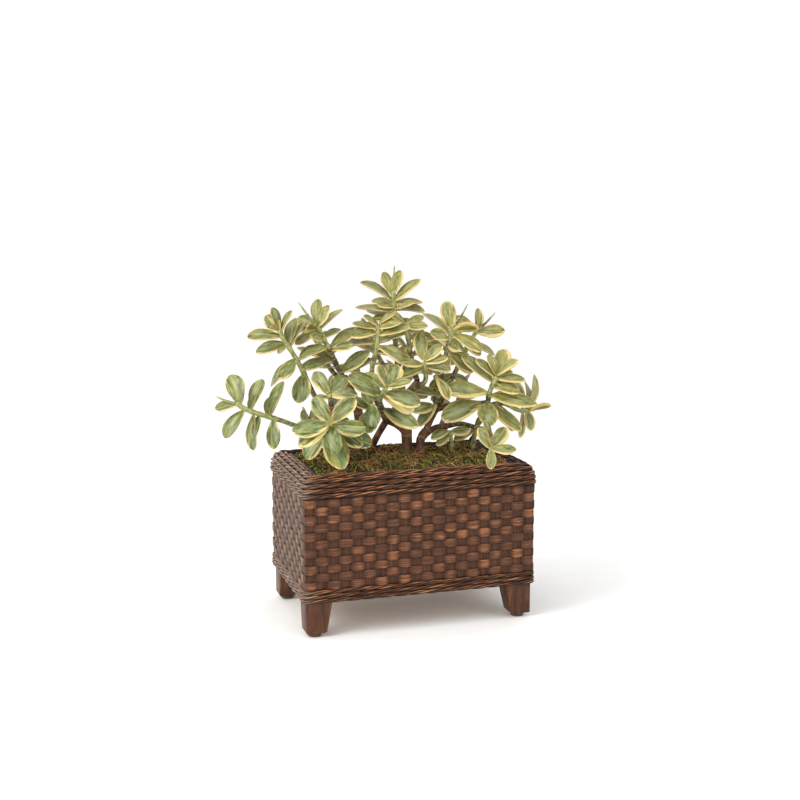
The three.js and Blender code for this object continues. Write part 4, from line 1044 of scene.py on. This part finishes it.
# A leaf is sage green in its middle, with soft streaks along it, and cream at its edges, broader on
# its lower side than on its upper one and over much of its back. Some edges are red where they had sun.
leaf_skin = new_finish("leaf")
where = written("leaf_place", "Vector")
edge = written("edge")
under = written("under")
low_side = written("low_side")
streaks = cloud(where, 1.0, 4.0, (3.4, 1.3, 9.0), 0.6)
blots = cloud(where, 1.0, 4.0, (2.8, 4.5, 7.0), 0.65, (4, 3, 8))
streaks = plus(times(streaks, 0.55), times(blots, 0.45))
fine_streaks = cloud(where, 1.0, 2.0, (9.0, 1.5, 5.0), 0.6, (3, 1, 2))
stand = axes(on_piece())
yellow_streaks = cloud(where, 1.0, 2.0, (4.6, 0.6, 13.0), 0.5, (9, 4, 1))
sheen = cloud(where, 1.0, 3.0, (2.4, 2.2, 6.0), 0.6, (1, 8, 5))
own_lean = plus(spread(cloud(where, 1.0, 0.0, (0, 0, 17.0)), 0.32, 0.68, 0.06, 0.46),
                spread(stand[0], -0.16, 0.2, -0.06, 0.38), spread(stand[2], 0.34, 0.5, 0.0, 0.36))
own_share = spread(cloud(where, 1.0, 0.0, (0, 0, 11.0), 0.5, (0, 0, 31)), 0.32, 0.68, -0.12, 0.28)
wander = cloud(where, 1.0, 1.0, (0.9, 1.9, 8.0), 0.5, (5, 2, 7))
border = plus(own_share, times(own_lean, low_side), spread(wander, 0.3, 0.7, -0.14, 0.14),
              spread(fine_streaks, 0.3, 0.7, -0.17, 0.17))
border = maths("MAXIMUM", border, spread(fine_streaks, 0.3, 0.7, -0.12, 0.04))
border = plus(border, spread(stand[0], -0.16, 0.2, -0.15, 0.02))
back = spread(under, 0.42, 0.62)
border = plus(border, times(back, 0.34))
within = minus(edge, border)
cream_share = spread(within, 0.2, -0.1)
# painted shade: the low shoots are painted darker and greener; the left ones are darker and greener too, the
# others paler and yellower
shade = plus(spread(stand[2], 0.3, 0.48, 0.0, 0.7), spread(stand[0], -0.06, 0.18, 0.0, 0.6))
deep = ramp(streaks, (0.36, tint(36, 48, 16)), (0.45, tint(66, 82, 33)), (0.54, tint(98, 114, 54)),
            (0.64, tint(146, 158, 108)))
pale = ramp(streaks, (0.36, tint(82, 80, 26)), (0.45, tint(116, 113, 46)), (0.54, tint(150, 146, 74)),
            (0.64, tint(194, 184, 120)))
green = mix(shade, deep, pale)
# painted highlight: a pale grey-green highlight is painted along the hollow middle of a leaf, and the green
# is deepest beside the cream
hollow_highlight = times(spread(sheen, 0.42, 0.62), spread(edge, 0.3, 0.8, 0.15, 0.75))
green = mix(spread(within, 0.5, 0.1, 0.0, 0.35), green, tint(58, 70, 24))
green = mix(hollow_highlight, green, tint(156, 166, 132))
green = mix(spread(yellow_streaks, 0.56, 0.7, 0.0, 0.65), green, tint(176, 166, 84))
cream = ramp(fine_streaks, (0.3, tint(196, 175, 96)), (0.7, tint(232, 217, 156)))
top = mix(cream_share, green, cream)
# painted shade: the back of a leaf is duller and darker than its top, its own duller colour together with
# painted shade
dull_shaded_green = ramp(streaks, (0.35, tint(76, 82, 34)), (0.65, tint(124, 126, 64)))
dull_shaded_cream = ramp(fine_streaks, (0.3, tint(180, 156, 80)), (0.7, tint(218, 198, 126)))
low = mix(cream_share, dull_shaded_green, dull_shaded_cream)
colour = mix(back, top, low)
colour = mix(spread(axes(where)[1], 0.16, 0.02, 0.0, 0.8), colour, tint(146, 148, 72))
sunny = plus(cloud(where, 1.0, 1.0, (0.8, 2.2, 7.0), 0.5, (2, 0, 9)), spread(stand[2], 0.34, 0.5, 0.0, 0.08))
blush = times(spread(edge, 0.1, 0.02), spread(sunny, 0.48, 0.62))
colour = mix(times(blush, 0.65), colour, tint(208, 104, 62))
coat(colour, spread(fine_streaks, 0.3, 0.7, 0.38, 0.52), streaks, 0.0008, 0.3, Specular_IOR_Level=0.36)


def leaf_blade(bm, layers, leaf, tone, curl, bend, droop):
    """A ball drawn out and flattened to a leaf: its top is dished with a groove, its back is keeled.
    It is curled about its length, bent sideways and drooped at its tip by the last three amounts."""
    leaf_place, edge, under, low_side = layers
    length = leaf["length"]
    axis, up = leaf["axis"], leaf["up"]
    side = np.cross(axis, up)
    broad = length * leaf["broad"] / 2
    rings = len(LEAF_STATIONS) - 1
    ball = bmesh.ops.create_uvsphere(bm, u_segments=LEAF_AROUND, v_segments=rings, radius=1)["verts"]
    for vert in ball:
        share = LEAF_STATIONS[round(math.acos(max(-1, min(1, vert.co.z))) / math.pi * rings)]
        angle = math.atan2(vert.co.y, vert.co.x) if 0 < share < 1 else math.pi / 2
        across, over = math.cos(angle), math.sin(angle)
        half = half_width(leaf, share) if 0 < share < 1 else 0
        thick = LEAF_THICK * (1 - 0.35 * share) * min(1, 6 * share + 0.35) * min(1, (1 - share) * 6 + 0.12)
        dish = 0.2 * half * across * across
        groove = 0.7 * math.exp(-((across / 0.3) ** 2)) if 0.05 < share < 0.95 else 0
        lift = dish + (over * 0.95 - groove if over > 0 else 0.7 * thick * over)
        twist = curl * (share - 0.4) * across * half
        sideways = half * across + bend * length * 4 * share * (1 - share)
        point = mid_point(leaf, share) + side * sideways + up * (lift + twist - droop * length * share ** 3)
        vert.co = in_place(*point)
        wide = half / broad
        vert[leaf_place] = (across * wide, share, tone)
        vert[edge] = min((1 - abs(across)) * wide, (1 - share) * 4.5)
        vert[under] = 0.5 - 0.5 * over
        vert[low_side] = -across * side[2]


for name, points, leaves, bud in grown:
    bm, grow, leaf_place, age, edge, under, low_side = new_shape(
        ["grow", "leaf_place"], ["age", "edge", "under", "low_side"])
    layers = leaf_place, edge, under, low_side
    line = smooth_line(points, 8)
    whole = length_of(line)
    joints = sorted({round(whole * min(along, PLANTING_DEPTH), 1) for along, _ in leaves})

    def stem_radius(run, angle, whole=whole, joints=joints):
        radius = STEM_ROOT + (STEM_TIP - STEM_ROOT) * run / whole
        swelling = max((math.exp(-(((run - joint) / 2.2) ** 2)) for joint in joints), default=0)
        closing = min(1, math.sqrt(max(whole - run, 0) / 2.5) + 0.25)
        return (radius + 0.3 + 1.1 * swelling + 0.18 * math.sin(3 * angle + run * 0.06)) * closing

    grow_bar(bm, grow, age, line, stem_radius, STEM_SIDES, chance(0, 9), STEM)
    if bud:
        clock, lean, length = bud[0]
        way = view_direction(clock, lean)
        root = along_line(points, PLANTING_DEPTH)
        sag = np.array((0, 0, -1.0)) * length * 0.04
        spike = [root + way * length * k / 6 + sag * math.sin(math.pi * k / 6) for k in range(7)]

        def spike_radius(run, angle, length=length):
            return BUD_RADIUS * (1.0 - 0.8 * (run / length) ** 1.6)

        grow_bar(bm, grow, age, spike, spike_radius, SPIKE_SIDES, chance(0, 9), STEM, (0.5, 0.75))
    close_bars(bm)
    for along, leaf in leaves:
        tone, curl, bend, droop = chance(0, 40), chance(-0.55, 0.55), chance(-0.05, 0.05), chance(0, 0.07)
        leaf_blade(bm, layers, leaf, tone, curl, bend, droop)
    piece = finish_piece(f"{name}_leaves", bm, [leaf_skin, stem_green], "leaf", name)
    soft = piece.modifiers.new("round_leaves", "SUBSURF")
    soft.levels = soft.render_levels = 1


# The stand for the picture: a pale floor, two soft lights and even light all round, and the camera
# at the height and angle of the photograph.
floor_paint = new_finish("floor_paint")
where = on_piece()
grain = cloud(where, 30.0, 3.0)
coat(ramp(grain, (0.3, tint(250, 250, 249)), (0.7, tint(253, 253, 253))), 0.9)
bm = bmesh.new()
bmesh.ops.create_circle(bm, segments=64, radius=14, cap_ends=True)
mesh = bpy.data.meshes.new("floor")
bm.to_mesh(mesh)
bm.free()
mesh.materials.append(floor_paint)
floor = bpy.data.objects.new("floor", mesh)
bpy.context.scene.collection.objects.link(floor)

world = bpy.data.worlds.new("studio")
world.use_nodes = True
world.node_tree.nodes["Background"].inputs["Color"].default_value = (1.0, 1.0, 1.0, 1)
world.node_tree.nodes["Background"].inputs["Strength"].default_value = 1.04
bpy.context.scene.world = world


def soft_light(name, place, aim, size, power, colour):
    light = bpy.data.lights.new(name, "AREA")
    light.shape = "DISK"
    light.size = size
    light.energy = power
    light.color = colour
    lamp = bpy.data.objects.new(name, light)
    lamp.location = place
    lamp.rotation_euler = (Vector(aim) - Vector(place)).to_track_quat("-Z", "Y").to_euler()
    bpy.context.scene.collection.objects.link(lamp)


soft_light("key", (-2.0, -0.7, 1.7), (0, 0, 0.3), 1.5, 40, (1.0, 0.985, 0.96))
soft_light("fill", (1.3, -2.0, 1.1), (0, 0, 0.25), 1.6, 6, (1.0, 1.0, 1.0))

CAMERA_PLACE = (-588, -1902, 646)
CAMERA_DROP, CAMERA_TURN = math.radians(8.47), math.radians(17.2)
camera = bpy.data.cameras.new("camera")
camera.lens = 55.2
camera.sensor_width = 36
stand = bpy.data.objects.new("camera", camera)
stand.location = in_place(*CAMERA_PLACE)
stand.rotation_euler = (math.pi / 2 - CAMERA_DROP, 0, -CAMERA_TURN)
bpy.context.scene.collection.objects.link(stand)
bpy.context.scene.camera = stand
bpy.context.scene.view_settings.view_transform = "Standard"
